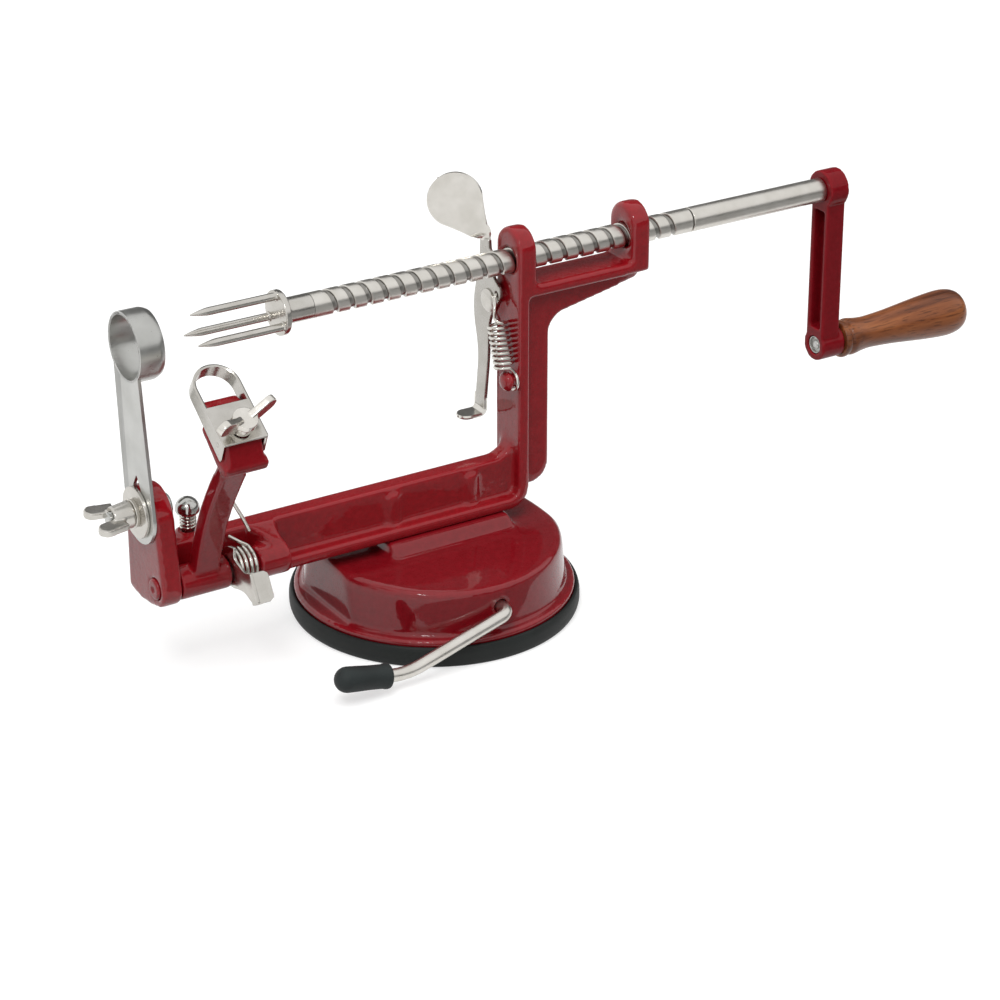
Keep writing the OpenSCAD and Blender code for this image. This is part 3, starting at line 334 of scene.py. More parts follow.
# A rounded copy of a solid: its edges and corners soften by about twice the given grain, more
# so where more(points) is true, and each bore (place, way, radius, length) is drilled true.
def cast_copy(node, name, grain, passes, bores=(), more=None, more_passes=0):
    piece = node_copy(node, name)
    mould = piece.modifiers.new("mould", "REMESH")
    mould.mode, mould.voxel_size, mould.use_smooth_shade = "VOXEL", grain * mm, True
    solid = settled(piece)
    n = len(solid.vertices)
    co = np.empty(n * 3)
    solid.vertices.foreach_get("co", co)
    co = co.reshape(-1, 3)
    pairs = np.empty(len(solid.edges) * 2, int)
    solid.edges.foreach_get("vertices", pairs)
    pairs = pairs.reshape(-1, 2)
    count = np.bincount(pairs.ravel(), minlength=n)[:, None]
    soft = np.ones(n) if more is None else more(co / mm).astype(float)
    for turn in range(passes + more_passes):
        total = np.zeros_like(co)
        np.add.at(total, pairs[:, 0], co[pairs[:, 1]])
        np.add.at(total, pairs[:, 1], co[pairs[:, 0]])
        co += (0.5 if turn < passes else 0.5 * soft[:, None]) * (total / count - co)
    for place, way, r, length in bores:
        way = np.array(way, float)
        off = co - np.array(place) * mm
        along = off @ way
        off -= np.outer(along, way)
        far = np.linalg.norm(off, axis=1)
        wall = (far < r * mm + 0.45 * grain * mm) & (far > 0.3 * r * mm) & (abs(along) < length / 2 * mm)
        co[wall] += off[wall] / far[wall, None] * (r * mm - far[wall, None])
    solid.vertices.foreach_set("co", co.ravel())
    solid.polygons.foreach_set("use_smooth", np.ones(len(solid.polygons), bool))
    solid.update()
    return piece


base = cast_copy("base_housing", "base_cast", 0.75, 5, more=lambda p: p[:, 2] > 14, more_passes=16)
base.data.materials.append(red_enamel("enamel_base", 0.4, 1.0, 0.82))
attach(base, "frame")
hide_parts("base_housing")


# Inside the dome: two slotted steel screws, the stirrup bonded to the pad and the cam that
# lifts it, all plain machined steel with a film of oil.
def stretched(t, where, scale):
    return fed(t, "Mapping", {"Scale": scale, "Vector": where}).outputs["Vector"]


def plain_steel(name, rough, stretch=(1, 1, 1), tone=1.0):
    steel, t, metal, place = new_finish(name)
    lines = cloudy(t, stretched(t, place, stretch), 900, 4)
    tint = two_tone(t, cloudy(t, place, 90, 3), 0.3, (0.47 * tone, 0.47 * tone, 0.45 * tone),
                    0.7, (0.56 * tone, 0.56 * tone, 0.54 * tone))
    t.links.new(tint, metal.inputs["Base Color"])
    t.links.new(between(t, lines, rough - 0.07, rough + 0.08), metal.inputs["Roughness"])
    t.links.new(relief(t, lines, 0.0001, 0.10), metal.inputs["Normal"])
    metal.inputs["Metallic"].default_value = 1
    return steel


oiled_steel = plain_steel("oiled_steel", 0.38)
for inner in ("frame_screws", "lift_stirrup", "lift_cam"):
    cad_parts[inner].data.materials.clear()
    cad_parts[inner].data.materials.append(oiled_steel)


# Suction lever: a steel rod bent twice, with one end through the dome as its spindle and a
# bright nickel finish. A soft black cap is pushed on its free end.
def nickel_plate(name, rough, stretch=(1, 1, 1), lines=0.05, tone=1.0):
    nickel, t, metal, place = new_finish(name)
    haze = cloudy(t, place, 160, 4)
    tint = two_tone(t, haze, 0.3, (0.64 * tone, 0.615 * tone, 0.565 * tone),
                    0.7, (0.735 * tone, 0.71 * tone, 0.665 * tone))
    fine = cloudy(t, stretched(t, place, stretch), 1300, 3)
    t.links.new(tint, metal.inputs["Base Color"])
    t.links.new(between(t, haze, rough - 0.05, rough + 0.07), metal.inputs["Roughness"])
    t.links.new(relief(t, fine, 0.0002, lines), metal.inputs["Normal"])
    metal.inputs["Metallic"].default_value = 1
    return nickel


# A wire or rod along a route, with its two ends rounded off.
def drawn_wire(name, route, d, spot=Matrix.Scale(mm, 4), sides=16, section=None, round_ends=0.3):
    p = np.array(route, float)
    way = np.gradient(p, axis=0)
    way /= np.linalg.norm(way, axis=1)[:, None]
    side = np.cross(way[0], (0.31, 0.52, 0.79))
    turns = [2 * math.pi * j / sides for j in range(sides)]
    ring = section or [(math.cos(a), math.sin(a)) for a in turns]
    rings = []
    for k in range(len(p)):
        side = side - (side @ way[k]) * way[k]
        side /= np.linalg.norm(side)
        other = np.cross(way[k], side)
        rings.append([p[k] + d / 2 * (a * side + b * other) for a, b in ring])
    ends = []
    for k, sign in ((0, -1), (-1, 1)):
        cap = []
        for f in (0.6, 1.1, 1.57):
            mid = p[k] + sign * way[k] * round_ends * d * math.sin(f)
            narrow = 1 - round_ends * 2 * (1 - math.cos(f))
            cap.append([mid + (q - p[k]) * narrow for q in rings[k]])
        ends.append(cap)
    rings = ends[0][::-1] + rings + ends[1]
    n = len(ring)
    points = [spot @ Vector(q) for row in rings for q in row]
    faces = [(i * n + j, (i + 1) * n + j, (i + 1) * n + (j + 1) % n, i * n + (j + 1) % n)
             for i in range(len(rings) - 1) for j in range(n)]
    faces += [tuple(range(n)), tuple(range((len(rings) - 1) * n, len(rings) * n))]
    return made(name, points, faces, 50)


# Points on an arc, in degrees.
def bend(centre, r, a0, a1, steps=12):
    turns = [math.radians(a0 + (a1 - a0) * k / steps) for k in range(steps + 1)]
    return [(centre[0] + r * math.cos(a), centre[1] + r * math.sin(a)) for a in turns]


# A place on the machine, in millimetres, with the piece there turned about one axis.
def turned(place, degrees=0, axis="X"):
    turn = Matrix.Rotation(math.radians(degrees), 4, axis)
    return Matrix.Translation(Vector(place) * mm) @ turn @ Matrix.Scale(mm, 4)


lever_d, elbow_r, knee_r = 5.0, 3.7, 28.0
lever_y, spindle_z, lever_tilt = 54.1, 18.5, 16.7
lever_drop, lever_reach, tip_slope, tip_l, spindle_l = 13.2, 44, 11, 28, 46.8
knee_turn = math.radians(lever_tilt + tip_slope)
knee_cut = knee_r * math.tan(knee_turn / 2)
knee_x = math.hypot(lever_reach, lever_drop) - knee_cut
tip_x, tip_z = knee_x + knee_r * math.sin(knee_turn), knee_r * (math.cos(knee_turn) - 1)
tip_run = tip_l - knee_cut
tip_way = (math.cos(knee_turn), 0, -math.sin(knee_turn))
lever_route = [(0, lever_y + spindle_l, 0)] + [(0, y, 0) for y in (80, 60, 40, 20, 8, 5)]
lever_route += [(x, y, 0) for x, y in bend((elbow_r, elbow_r), elbow_r, 180, 270)]
lever_route += [(x, 0, 0) for x in (5, 8, 14, 20, 26, 32, 36, knee_x - 0.8)]
lever_route += [(x, 0, z) for x, z in bend((knee_x, -knee_r), knee_r, 90, 90 - lever_tilt - tip_slope)]
lever_route += [(tip_x + k * tip_way[0], 0, tip_z + k * tip_way[2]) for k in (1, 4, 9, tip_run - 2)]
on_lever = turned((0, -lever_y, spindle_z), 180 - lever_tilt, "Y")
lever = drawn_wire("suction_lever_rod", lever_route, lever_d, on_lever, sides=28)
lever.data.materials.append(nickel_plate("nickel_lever", 0.28))
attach(lever, "suction_lever")
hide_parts("lever_rod")

cap_r, cap_back, cap_bore = 4.8, 20, 2.52
tip_spot = on_lever @ Matrix.Translation((tip_x + tip_run * tip_way[0], 0, tip_z + tip_run * tip_way[2]))
tip_spot = tip_spot @ Vector(tip_way).to_track_quat("Z", "Y").to_matrix().to_4x4()
cap_line = eased([(cap_bore, -cap_back, 0.2), (4.6, -cap_back), (4.78, -cap_back + 0.6),
                  (4.78, -cap_back + 1.6), (4.5, -cap_back + 2.6)], 0.5)
cap_line += [(4.5, -12), (4.7, -7), (cap_r, -3)]
cap_line += [(cap_r * math.cos(a), 2 - cap_r + cap_r * math.sin(a))
             for a in np.linspace(0.1, math.pi / 2 - 0.02, 12)]
cap_line = [(cap_bore, 0), (cap_bore, -cap_back + 0.2)] + cap_line[1:] + [(0, 2.0)]
cap = spun("lever_cap_rubber", cap_line, tip_spot, sides=64)
cap.data.materials.append(soft_rubber("cap_rubber", (0.012, 0.0155, 0.0155), (0.021, 0.026, 0.026)))
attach(cap, "suction_lever")
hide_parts("lever_cap")


# Frame: one iron casting, knocked out of a sand mould and enamelled red. Its webs keep the
# grain of the sand, and the two lugs for the screw are the roundest part of it.
shaft_z, rod_y, rod_z, bolt_y, bolt_z = 132.6, -12, 43, -4.5, 71.0
frame_bores = (((62, 0, shaft_z), (1, 0, 0), 4.85, 60), ((-97, rod_y, rod_z), (1, 0, 0), 4.02, 56),
               ((-119, bolt_y, bolt_z), (1, 0, 0), 2.52, 10))
frame_cast = cast_copy("frame_casting", "frame_cast", 0.75, 7, frame_bores, more_passes=9,
                       more=lambda p: (p[:, 2] > 121.5) | ((p[:, 0] > 80) & (p[:, 2] > 100)))
frame_cast.data.materials.append(red_enamel("enamel_frame", 1.0, 0.9, 1.12))
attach(frame_cast, "frame")
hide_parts("frame_casting")


# Feed screw: a steel bar with one broad, square-cut thread turned along it and a thinner
# end for the sleeve and crank, nickel plated all over.
shaft_r, lead = 4.75, 7.0


# The cut is (offset, depth) across one lead; it runs in and out over a quarter turn.
def threaded(name, middle, x0, x1, r, lead, first, turns, cut, left, right, around=72):
    first_lap = math.floor((x0 - first) / lead) - 1
    laps = math.ceil((x1 - first) / lead) + 2 - first_lap
    per, total = len(cut), laps * around + 1
    points, faces = [], []
    for i in range(total):
        lap = first_lap + i / around
        a = 2 * math.pi * lap
        deep = min(max(min(lap, turns - lap) / 0.25, 0), 1)
        for off, depth in cut:
            rho = r - depth * deep
            x = min(max(first + lead * lap + off, x0), x1)
            points.append((x, middle[0] + rho * math.cos(a), middle[1] + rho * math.sin(a)))
    for i in range(total - around - 1):
        for j in range(per):
            if j + 1 < per:
                faces.append((i * per + j, (i + 1) * per + j, (i + 1) * per + j + 1, i * per + j + 1))
            else:
                faces.append((i * per + j, (i + 1) * per + j, (i + 1 + around) * per, (i + around) * per))
    for tail in ([(x0, r)] + left, [(x1, r)] + right):
        for (xa, ra), (xb, rb) in zip(tail, tail[1:]):
            for j in range(around):
                corners = []
                for x, rho, k in ((xa, ra, j), (xa, ra, j + 1), (xb, rb, j + 1), (xb, rb, j)):
                    a = 2 * math.pi * k / around
                    points.append((x, middle[0] + rho * math.cos(a), middle[1] + rho * math.sin(a)))
                    corners.append(len(points) - 1)
                faces.append(corners)
    return made(name, [Vector(p) * mm for p in points], faces, 34)


groove = [(-3.5, 0), (-2.4, 0), (-1.35, 0), (-1.2, 0.03), (-1.08, 0.16), (-0.98, 0.55), (-0.9, 0.82),
          (-0.75, 0.9)]
groove += [(0, 0.9)] + [(-off, depth) for off, depth in groove[:0:-1]]
shaft = threaded("feed_screw_bar", (0, shaft_z), -51, 113.6, shaft_r, lead, -46.15, 22, groove,
                 [(-51, 2.8), (-61.9, 2.8), (-61.9, 0)],
                 [(114, 4.35), (114, 3.4), (185.6, 3.4), (185.95, 3.05), (185.95, 0)])


def multiplied(t, amount, colour, by):
    return fed(t, "Mix", {0: amount, 6: colour, 7: by}, data_type="RGBA", blend_type="MULTIPLY").outputs[2]


# Painted shade: the plating's colour is darkened down in the groove, by its distance from the screw's axis,
# and stands for the shade inside the thread.
screw_finish = nickel_plate("nickel_screw", 0.3, (6, 1, 1), 0.07)
t = screw_finish.node_tree
metal = t.nodes["Principled BSDF"]
bright = metal.inputs["Base Color"].links[0].from_socket
here = t.nodes.new("ShaderNodeTexCoord").outputs["Object"]
from_axis = fed(t, "VectorMath", {0: here, 1: (0, 0, shaft_z * mm)}, operation="SUBTRACT")
across = fed(t, "VectorMath", {0: from_axis.outputs["Vector"], 1: (0, 1, 1)}, operation="MULTIPLY")
radius = fed(t, "VectorMath", {0: across.outputs["Vector"]}, operation="LENGTH")
dark = fed(t, "MapRange", {"Value": radius.outputs["Value"], "From Min": 4.05 * mm, "From Max": 4.6 * mm,
                           "To Min": 0.45})
t.links.new(multiplied(t, 1, bright, dark.outputs["Result"]), metal.inputs["Base Color"])
shaft.data.materials.append(screw_finish)
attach(shaft, "feed_screw")
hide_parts("feed_shaft")


# Fork: a turned collar and disc with three drawn prongs riveted into it, pressed on the
# screw's thin end.
def joined(name, pieces):
    bm = bmesh.new()
    for piece in pieces:
        bm.from_mesh(piece.data)
    mesh = bpy.data.meshes.new(name)
    bm.to_mesh(mesh)
    bm.free()
    for piece in pieces:
        old = piece.data
        bpy.data.objects.remove(piece)
        bpy.data.meshes.remove(old)
    return placed(name, mesh)


fork_x, prong_ring = -51, 6.5
fork_line = eased([(0, 0.05), (4.79, 0.05, 0.3), (4.79, 10.2, 1.2), (8.4, 11.3), (8.4, 13.6), (0, 13.6)], 0.5)
prong_line = [(0, -0.4), (2.0, -0.4), (2.0, 0.3), (1.5, 0.7), (1.5, 26.5), (1.42, 28), (1.0, 30.6),
              (0.5, 33), (0.22, 34), (0, 34.1)]
fork = joined("apple_fork_set", [spun("fork_hub", fork_line, stand((fork_x, 0, shaft_z), (-1, 0, 0)))] + [
    spun("prong", prong_line, stand((fork_x - 13.5, y, z), (-1, 0, 0)), sides=32)
    for y, z in bend((0, shaft_z), prong_ring, 90, 330, 2)])
fork.data.materials.append(nickel_plate("nickel_fork", 0.22, tone=0.84))
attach(fork, "feed_screw")
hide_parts("apple_fork")


# Sleeve: a length of plated tube, slipped over the screw to keep the crank off the frame.
sleeve_line = eased([(3.46, 0), (4.79, 0), (4.79, 62.9), (3.46, 62.9)], 0.35, closed=True)
sleeve = spun("sleeve_tube", sleeve_line, stand((114.3, 0, shaft_z), (1, 0, 0)), closed=True)
sleeve.data.materials.append(nickel_plate("nickel_sleeve", 0.3, (6, 1, 1), 0.06))
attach(sleeve, "feed_carriage")
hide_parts("spacer_sleeve")


# Crank arm: a small casting in the frame's enamel, a bar with a long pocket and a boss at
# each end, pressed on the screw.
grip_z = 66.6
crank = cast_copy("crank_arm", "crank_cast", 0.5, 4, (
    ((182, 0, shaft_z), (1, 0, 0), 3.45, 12), ((178.5, 0, grip_z), (1, 0, 0), 3.9, 2.4)))
crank.data.materials.append(red_enamel("enamel_crank", 0.5, 0.3, 0.8))
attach(crank, "feed_screw")
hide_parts("crank_arm")


# Handle: a turned hardwood grip with a bead at its collar, stained red-brown and varnished.
# It turns with its steel bolt, whose dished head lies in the crank's boss.
def flowing(points, steps=6):
    p = np.array(points, float)
    p = np.vstack([2 * p[0] - p[1], p, 2 * p[-1] - p[-2]])
    out = []
    for a, b, c, d in zip(p, p[1:], p[2:], p[3:]):
        for k in range(steps):
            t = k / steps
            out.append(0.5 * (2 * b + (c - a) * t + (2 * a - 5 * b + 4 * c - d) * t * t
                              + (3 * b - a - 3 * c + d) * t ** 3))
    return [tuple(q) for q in out] + [tuple(p[-2])]


def stained_wood(name):
    wood, t, timber, place = new_finish(name)
    rings = cloudy(t, stretched(t, place, (14, 150, 150)), 1.0, 5)
    rings.node.inputs["Distortion"].default_value = 0.6
    pores = cloudy(t, stretched(t, place, (90, 1500, 1500)), 1.0, 3)
    tone = two_tone(t, rings, 0.30, (0.070, 0.018, 0.006), 0.72, (0.330, 0.112, 0.034))
    tone.node.color_ramp.elements.new(0.5).color = (0.190, 0.056, 0.017, 1)
    pore_tone = two_tone(t, pores, 0.33, (0.30, 0.30, 0.30), 0.46, (1, 1, 1))
    t.links.new(multiplied(t, 0.75, tone, pore_tone), timber.inputs["Base Color"])
    t.links.new(between(t, pores, 0.42, 0.30), timber.inputs["Roughness"])
    t.links.new(relief(t, pores, 0.0002, 0.12), timber.inputs["Normal"])
    timber.inputs["Specular IOR Level"].default_value = 0.25
    timber.inputs["Coat Weight"].default_value = 0.3
    timber.inputs["Coat Roughness"].default_value = 0.2
    return wood


grip_line = [(0, 44), (2.52, 44), (2.52, 0.3)] + flowing(
    [(2.9, 0), (6.4, 0.05), (7.4, 0.4), (7.65, 1.4), (7.4, 2.6), (6.85, 3.2), (6.85, 3.7), (7.3, 4.4),
     (7.5, 5.6), (7.3, 7.2), (6.85, 9.8), (6.5, 13.5), (6.6, 18), (7.05, 25), (7.75, 32), (8.5, 39),
     (9.15, 46), (9.5, 52), (9.38, 55.5), (8.7, 58.8), (7.3, 61.2), (5.0, 62.6), (2.4, 63), (0, 63)], 5)
grip = spun("handle_wood", [(max(r, 0), h) for r, h in grip_line], stand((188.9, 0, grip_z), (1, 0, 0)))
grip.data.materials.append(stained_wood("stained_beech"))
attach(grip, "grip")
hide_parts("handle_grip")

bolt_line = eased([(0, 0.25), (1.2, 0.35), (1.75, 0.8), (1.8, 1.5, 0.2), (2.9, 1.5, 0.2), (3.15, 0.1),
                   (3.5, 0.1), (3.5, 1.9, 0.1), (2.5, 1.95, 0.1), (2.5, 55.0), (0, 55.1)], 0.3)
grip_bolt = spun("grip_bolt_steel", bolt_line, stand((177.9, 0, grip_z), (1, 0, 0)), sides=48)
grip_bolt.data.materials.append(plain_steel("bright_bolt", 0.28))
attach(grip_bolt, "grip")
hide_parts("handle_bolt")


# Release lever: stamped from plated sheet, with a tooth that rests in the thread, a foot
# bent to the left and a thumb paddle twisted round at its neck. It turns on a rivet.
def plate(name, outline, holes, thick, edge, spot):
    loops = []
    for k, loop in enumerate([outline] + list(holes)):
        q = np.array(loop, float)
        area = 0.5 * np.sum(q[:, 0] * np.roll(q[:, 1], -1) - q[:, 1] * np.roll(q[:, 0], -1))
        loops.append(q if (area > 0) == (k == 0) else q[::-1])
    rounds = [(edge * (1 - math.sin(a)), edge * (1 - math.cos(a))) for a in np.linspace(0, math.pi / 2, 4)]
    levels = rounds + [(inset, thick - h) for inset, h in rounds[::-1]]
    points, faces, caps = [], [], {0: [], len(levels) - 1: []}
    for q in loops:
        run = np.roll(q, -1, axis=0) - q
        run /= np.linalg.norm(run, axis=1)[:, None]
        inward = np.column_stack([-run[:, 1], run[:, 0]])
        inward = inward + np.roll(inward, 1, axis=0)
        inward /= np.maximum(np.linalg.norm(inward, axis=1), 1e-9)[:, None]
        n, start = len(q), len(points)
        for k, (inset, h) in enumerate(levels):
            ring = q + inward * inset
            if k in caps:
                caps[k].append((len(points), ring))
            points += [(a, b, h) for a, b in ring]
        for k in range(len(levels) - 1):
            for j in range(n):
                m = (j + 1) % n
                low, high = start + k * n, start + (k + 1) * n
                faces.append((low + j, low + m, high + m, high + j))
    for rings in caps.values():
        index = [first + j for first, ring in rings for j in range(len(ring))]
        for triangle in tessellate_polygon([[Vector((a, b, 0)) for a, b in ring] for first, ring in rings]):
            faces.append(tuple(index[v] for v in triangle))
    return made(name, [spot @ Vector(p) for p in points], faces, 34)


# A curved sheet over rows of points on its middle, with a rounded rim.
def curved_sheet(name, rows, thick, spot=Matrix.Scale(mm, 4)):
    p = np.array(rows, float)
    n, m = p.shape[:2]
    normal = np.cross(np.gradient(p, axis=0), np.gradient(p, axis=1))
    normal /= np.maximum(np.linalg.norm(normal, axis=2), 1e-9)[:, :, None]
    points = [tuple(q) for q in (p + normal * thick / 2).reshape(-1, 3)]
    points += [tuple(q) for q in (p - normal * thick / 2).reshape(-1, 3)]
    faces = []
    for i in range(n - 1):
        for j in range(m - 1):
            a, b, c, d = i * m + j, (i + 1) * m + j, (i + 1) * m + j + 1, i * m + j + 1
            faces += [(a, b, c, d), (a + n * m, d + n * m, c + n * m, b + n * m)]
    rim = [(i, 0) for i in range(n)] + [(n - 1, j) for j in range(1, m)]
    rim += [(i, m - 1) for i in range(n - 2, -1, -1)] + [(0, j) for j in range(m - 2, 0, -1)]
    first = len(points)
    for i, j in rim:
        inner = p[min(max(i, 1), n - 2), min(max(j, 1), m - 2)]
        out = p[i, j] - inner
        out /= max(np.linalg.norm(out), 1e-9)
        points.append(tuple(p[i, j] + out * thick * 0.28))
    for k, (i, j) in enumerate(rim):
        k2 = (k + 1) % len(rim)
        i2, j2 = rim[k2]
        top, top2 = i * m + j, i2 * m + j2
        faces += [(top, top2, first + k2, first + k), (first + k, first + k2, top2 + n * m, top + n * m)]
    return made(name, [spot @ Vector(q) for q in points], faces, 42)


def ring_of(middle, r, sides=40):
    return bend(middle, r, 0, 360, sides)[:-1]


# Outlines in Y and Z, with the thickness along X from a given place.
def facing_left(x):
    aim = Matrix(((0, 0, mm, 0), (mm, 0, 0, 0), (0, mm, 0, 0), (0, 0, 0, 1)))
    return Matrix.Translation((x * mm, 0, 0)) @ aim


plate_x, plate_t = 30.1, 1.5
sheet_mid = plate_x + plate_t / 2
rivet_y, rivet_z = 9, 114.3
lever_line = eased([(12.7, 68.6, 0.1), (19.1, 68.6, 0.1), (16.2, 91.3, 8), (19.6, 104.3, 5), (19.8, 112.3, 4),
                    (17.5, 121.3, 4), (15.5, 129.6, 3), (15, 138.6), (9, 138.6), (8.6, 134.4),
                    (4.3, 133.1, 0.2), (4.3, 132.1, 0.2), (8.6, 130.8), (6, 124.1, 3), (1.5, 121.5, 2),
                    (0.9, 118.5, 2), (2.1, 115.9, 2), (6, 111.7, 3), (9.4, 104.3, 6), (9.6, 91.3, 8)],
                   1.0, closed=True, steps=6)
lever_holes = [ring_of((rivet_y, rivet_z), 2.56), ring_of((3.5, 118.5), 1.2, 24)]
lever_plate = plate("lever_plate", lever_line, lever_holes, plate_t, 0.3, facing_left(plate_x))
foot_r, foot_mid, toe_x = 2.3, 15.9, 24.2
foot_path = [(sheet_mid, z) for z in (73, 71, 69.3)]
foot_path += [(sheet_mid - foot_r + foot_r * math.cos(a), 68.55 - foot_r * math.sin(a))
              for a in np.linspace(0.1, math.pi / 2, 8)]
foot_path += [(x, 66.25) for x in (27, 25.5, toe_x, 23, 22.2, 21.5, 21, 20.75, 20.65)]
foot_rows = []
for x, z in foot_path:
    half = 3.5 if x > toe_x else math.sqrt(max(3.55 ** 2 - (toe_x - x) ** 2, 0.02))
    shift = foot_mid if x < 30 else foot_mid + (z - 68.6) * -0.03
    foot_rows.append([(x, shift + half * k / 5, z) for k in range(-5, 6)])
lever_foot = curved_sheet("lever_foot", foot_rows, plate_t - 0.04)
paddle_turn = Matrix.Rotation(math.radians(-24), 3, "Z") @ Matrix.Rotation(math.radians(-37), 3, "Y")
paddle_turn = paddle_turn @ Matrix.Rotation(math.radians(-14), 3, "X")
paddle_up, paddle_wide = paddle_turn @ Vector((0, 0, 1)), paddle_turn @ Vector((1, 0, 0))
neck, neck_half, paddle_r, paddle_mid = Vector((sheet_mid, 12, 137.65)), 2.15, 10.2, 18.8
taper_l, taper_half = 14.35, 9.18
paddle_rows = []
paddle_rises = list(np.linspace(-4, 15, 39))
paddle_rises += list(paddle_mid + paddle_r * np.sin(np.linspace(-0.33, 1.53, 34)))
for s in paddle_rises:
    turn = min(max((s + 1.5) / 6, 0), 1)
    turn = turn * turn * (3 - 2 * turn)
    wide = Vector((0, -1, 0)).lerp(paddle_wide, turn).normalized()
    rise = neck + Vector((0, 0, s))
    middle = rise.lerp(neck + paddle_up * s, min(max((s + 3) / 7, 0), 1) ** 2 if s < 4 else 1)
    if s < 0:
        half = 2.9 - 0.75 * min((s + 4) / 3, 1)
    elif s < taper_l:
        half = neck_half + (taper_half - neck_half) * (s / taper_l) ** 1.28
    else:
        half = math.sqrt(max(paddle_r ** 2 - (s - paddle_mid) ** 2, 0.01))
    paddle_rows.append([middle + wide * (half * k / 12) for k in range(-12, 13)])
paddle = curved_sheet("lever_paddle", paddle_rows, plate_t - 0.06)
# Painted shade: the flat plate gets a darker copy of the same nickel (tone 0.68) than the foot and paddle,
# standing for the shade that falls on it.
lever_plate.data.polygons.foreach_set("material_index", [1] * len(lever_plate.data.polygons))
release = joined("release_lever_sheet", [lever_plate, lever_foot, paddle])
release.data.materials.append(nickel_plate("nickel_release", 0.2, (1, 1, 1), 0.04))
release.data.materials.append(nickel_plate("nickel_release_plate_painted_shade", 0.26, (1, 1, 1), 0.05, tone=0.68))
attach(release, "release_lever")
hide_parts("release_lever")

rivet_line = eased([(0, 0), (2.5, 0), (2.5, 7.45, 0.1), (4.6, 7.5, 0.2), (4.6, 8.1), (3.2, 8.95, 1.5),
                    (0, 9.1)], 0.4)
rivet = spun("lever_rivet", rivet_line, stand((37.6, rivet_y, rivet_z), (-1, 0, 0)), sides=48)
rivet.data.materials.append(nickel_plate("nickel_rivet", 0.25, tone=0.86))
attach(rivet, "frame")
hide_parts("release_rivet")


# Release spring: a close coil of plated wire. One hook lies round the peg on the post, the
# other goes through the lever's small hole.
coil_r, coil_low, coil_high, curls, span = 3.4, 5.2, 22.4, 9, 32.9
peg_x, peg_loop, eye_loop, eye_x = 2.825, 3.675, 1.6, 2.275
spring_route = [(peg_x, y, z) for y, z in bend((0, 0), peg_loop, 310, 140, 10)]
spring_route += [(peg_x * 0.65, 0.3 - coil_r, 3.7), (peg_x * 0.25, -coil_r, 4.9)]
for k in range(curls * 8 + 1):
    a = math.radians(-90 - 45 * k)
    rise = coil_low + (coil_high - coil_low) * k / (curls * 8)
    spring_route.append((coil_r * math.cos(a), coil_r * math.sin(a), rise))
spring_route += [(-1.7, 1 - coil_r, coil_high + 1.4), (-1.1, -1, coil_high + 3.2),
                 (-0.2, -0.2, coil_high + 5.2), (eye_x - eye_loop - 0.2, 0, coil_high + 7.2)]
spring_route += [(x, 0, z) for x, z in bend((eye_x, span - eye_loop), eye_loop, 180, 60, 6)]
at_peg = turned((28.575, -6, 87), -16.8)
release_spring = drawn_wire("release_spring_wire", flowing(spring_route, 3), 1.25, at_peg, sides=12)
release_spring.data.materials.append(nickel_plate("nickel_release_spring", 0.17))
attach(release_spring, "frame")
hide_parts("release_spring")


# Arm rod: a turned pin through the bracket and its boss, with a centre mark on its end,
# painted over with the frame.
rod_line = eased([(0, 0.75), (0.9, 0.5), (1.5, 0, 0.2), (3.4, 0), (4, 0.6), (4, 52.8), (0, 52.8)], 0.35)
arm_rod = spun("arm_rod_pin", rod_line, stand((-123.8, rod_y, rod_z), (1, 0, 0)), sides=64)
arm_rod.data.materials.append(red_enamel("enamel_rod", 0.4, 0.8))
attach(arm_rod, "frame")
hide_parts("arm_rod")


# Peeling arm: a cast lever in red enamel, with a hub on the rod, a bent stem and a sloping
# head for the blade.
arm_bores = (((-104.6, rod_y, rod_z), (1, 0, 0), 4.06, 24),)
arm = cast_copy("peeling_arm", "arm_cast", 0.5, 8, arm_bores, more=lambda p: p[:, 2] > 94, more_passes=12)
arm.data.materials.append(red_enamel("enamel_arm", 0.6, 0.6))
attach(arm, "peeling_arm")
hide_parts("peeling_arm")


# Arm spring: nearly four turns of stout plated wire round the rod. One leg lies on the bar,
# the other goes up behind the arm's stem and comes back past its side.
turn_r, wire_d, pitch, coil_x = 7.1, 1.4, 1.9, -84.9
coil_steps = 30
leg_in, leg_x = 6.8, coil_x - pitch * coil_steps / 8
arm_route = [(coil_x - 4.3 * k, leg_in * k, turn_r + 2.3 * k) for k in (1, 0.66, 0.33)]
for k in range(coil_steps + 1):
    a = math.radians(90 + 45 * k)
    arm_route.append((coil_x - pitch * k / 8, turn_r * math.cos(a), turn_r * math.sin(a)))
arm_route += [(leg_x + x, y, z) for x, y, z in (
    (-0.4, turn_r - 0.2, 3.6), (-1.4, leg_in, 9), (-3, 4, 16), (-4.4, -0.5, 24), (-5, -3.9, 30.4),
    (-4.6, -5.2, 32.6), (-3.4, -5.6, 32.8), (-2.2, -5.2, 31), (2.5, -3.7, 22.6), (6.4, -2.4, 15))]
arm_spring = drawn_wire("arm_spring_wire", flowing(arm_route, 4), wire_d, turned((0, rod_y, rod_z)), sides=12)
arm_spring.data.materials.append(nickel_plate("nickel_arm_spring", 0.17))
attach(arm_spring, "frame")
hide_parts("arm_spring")


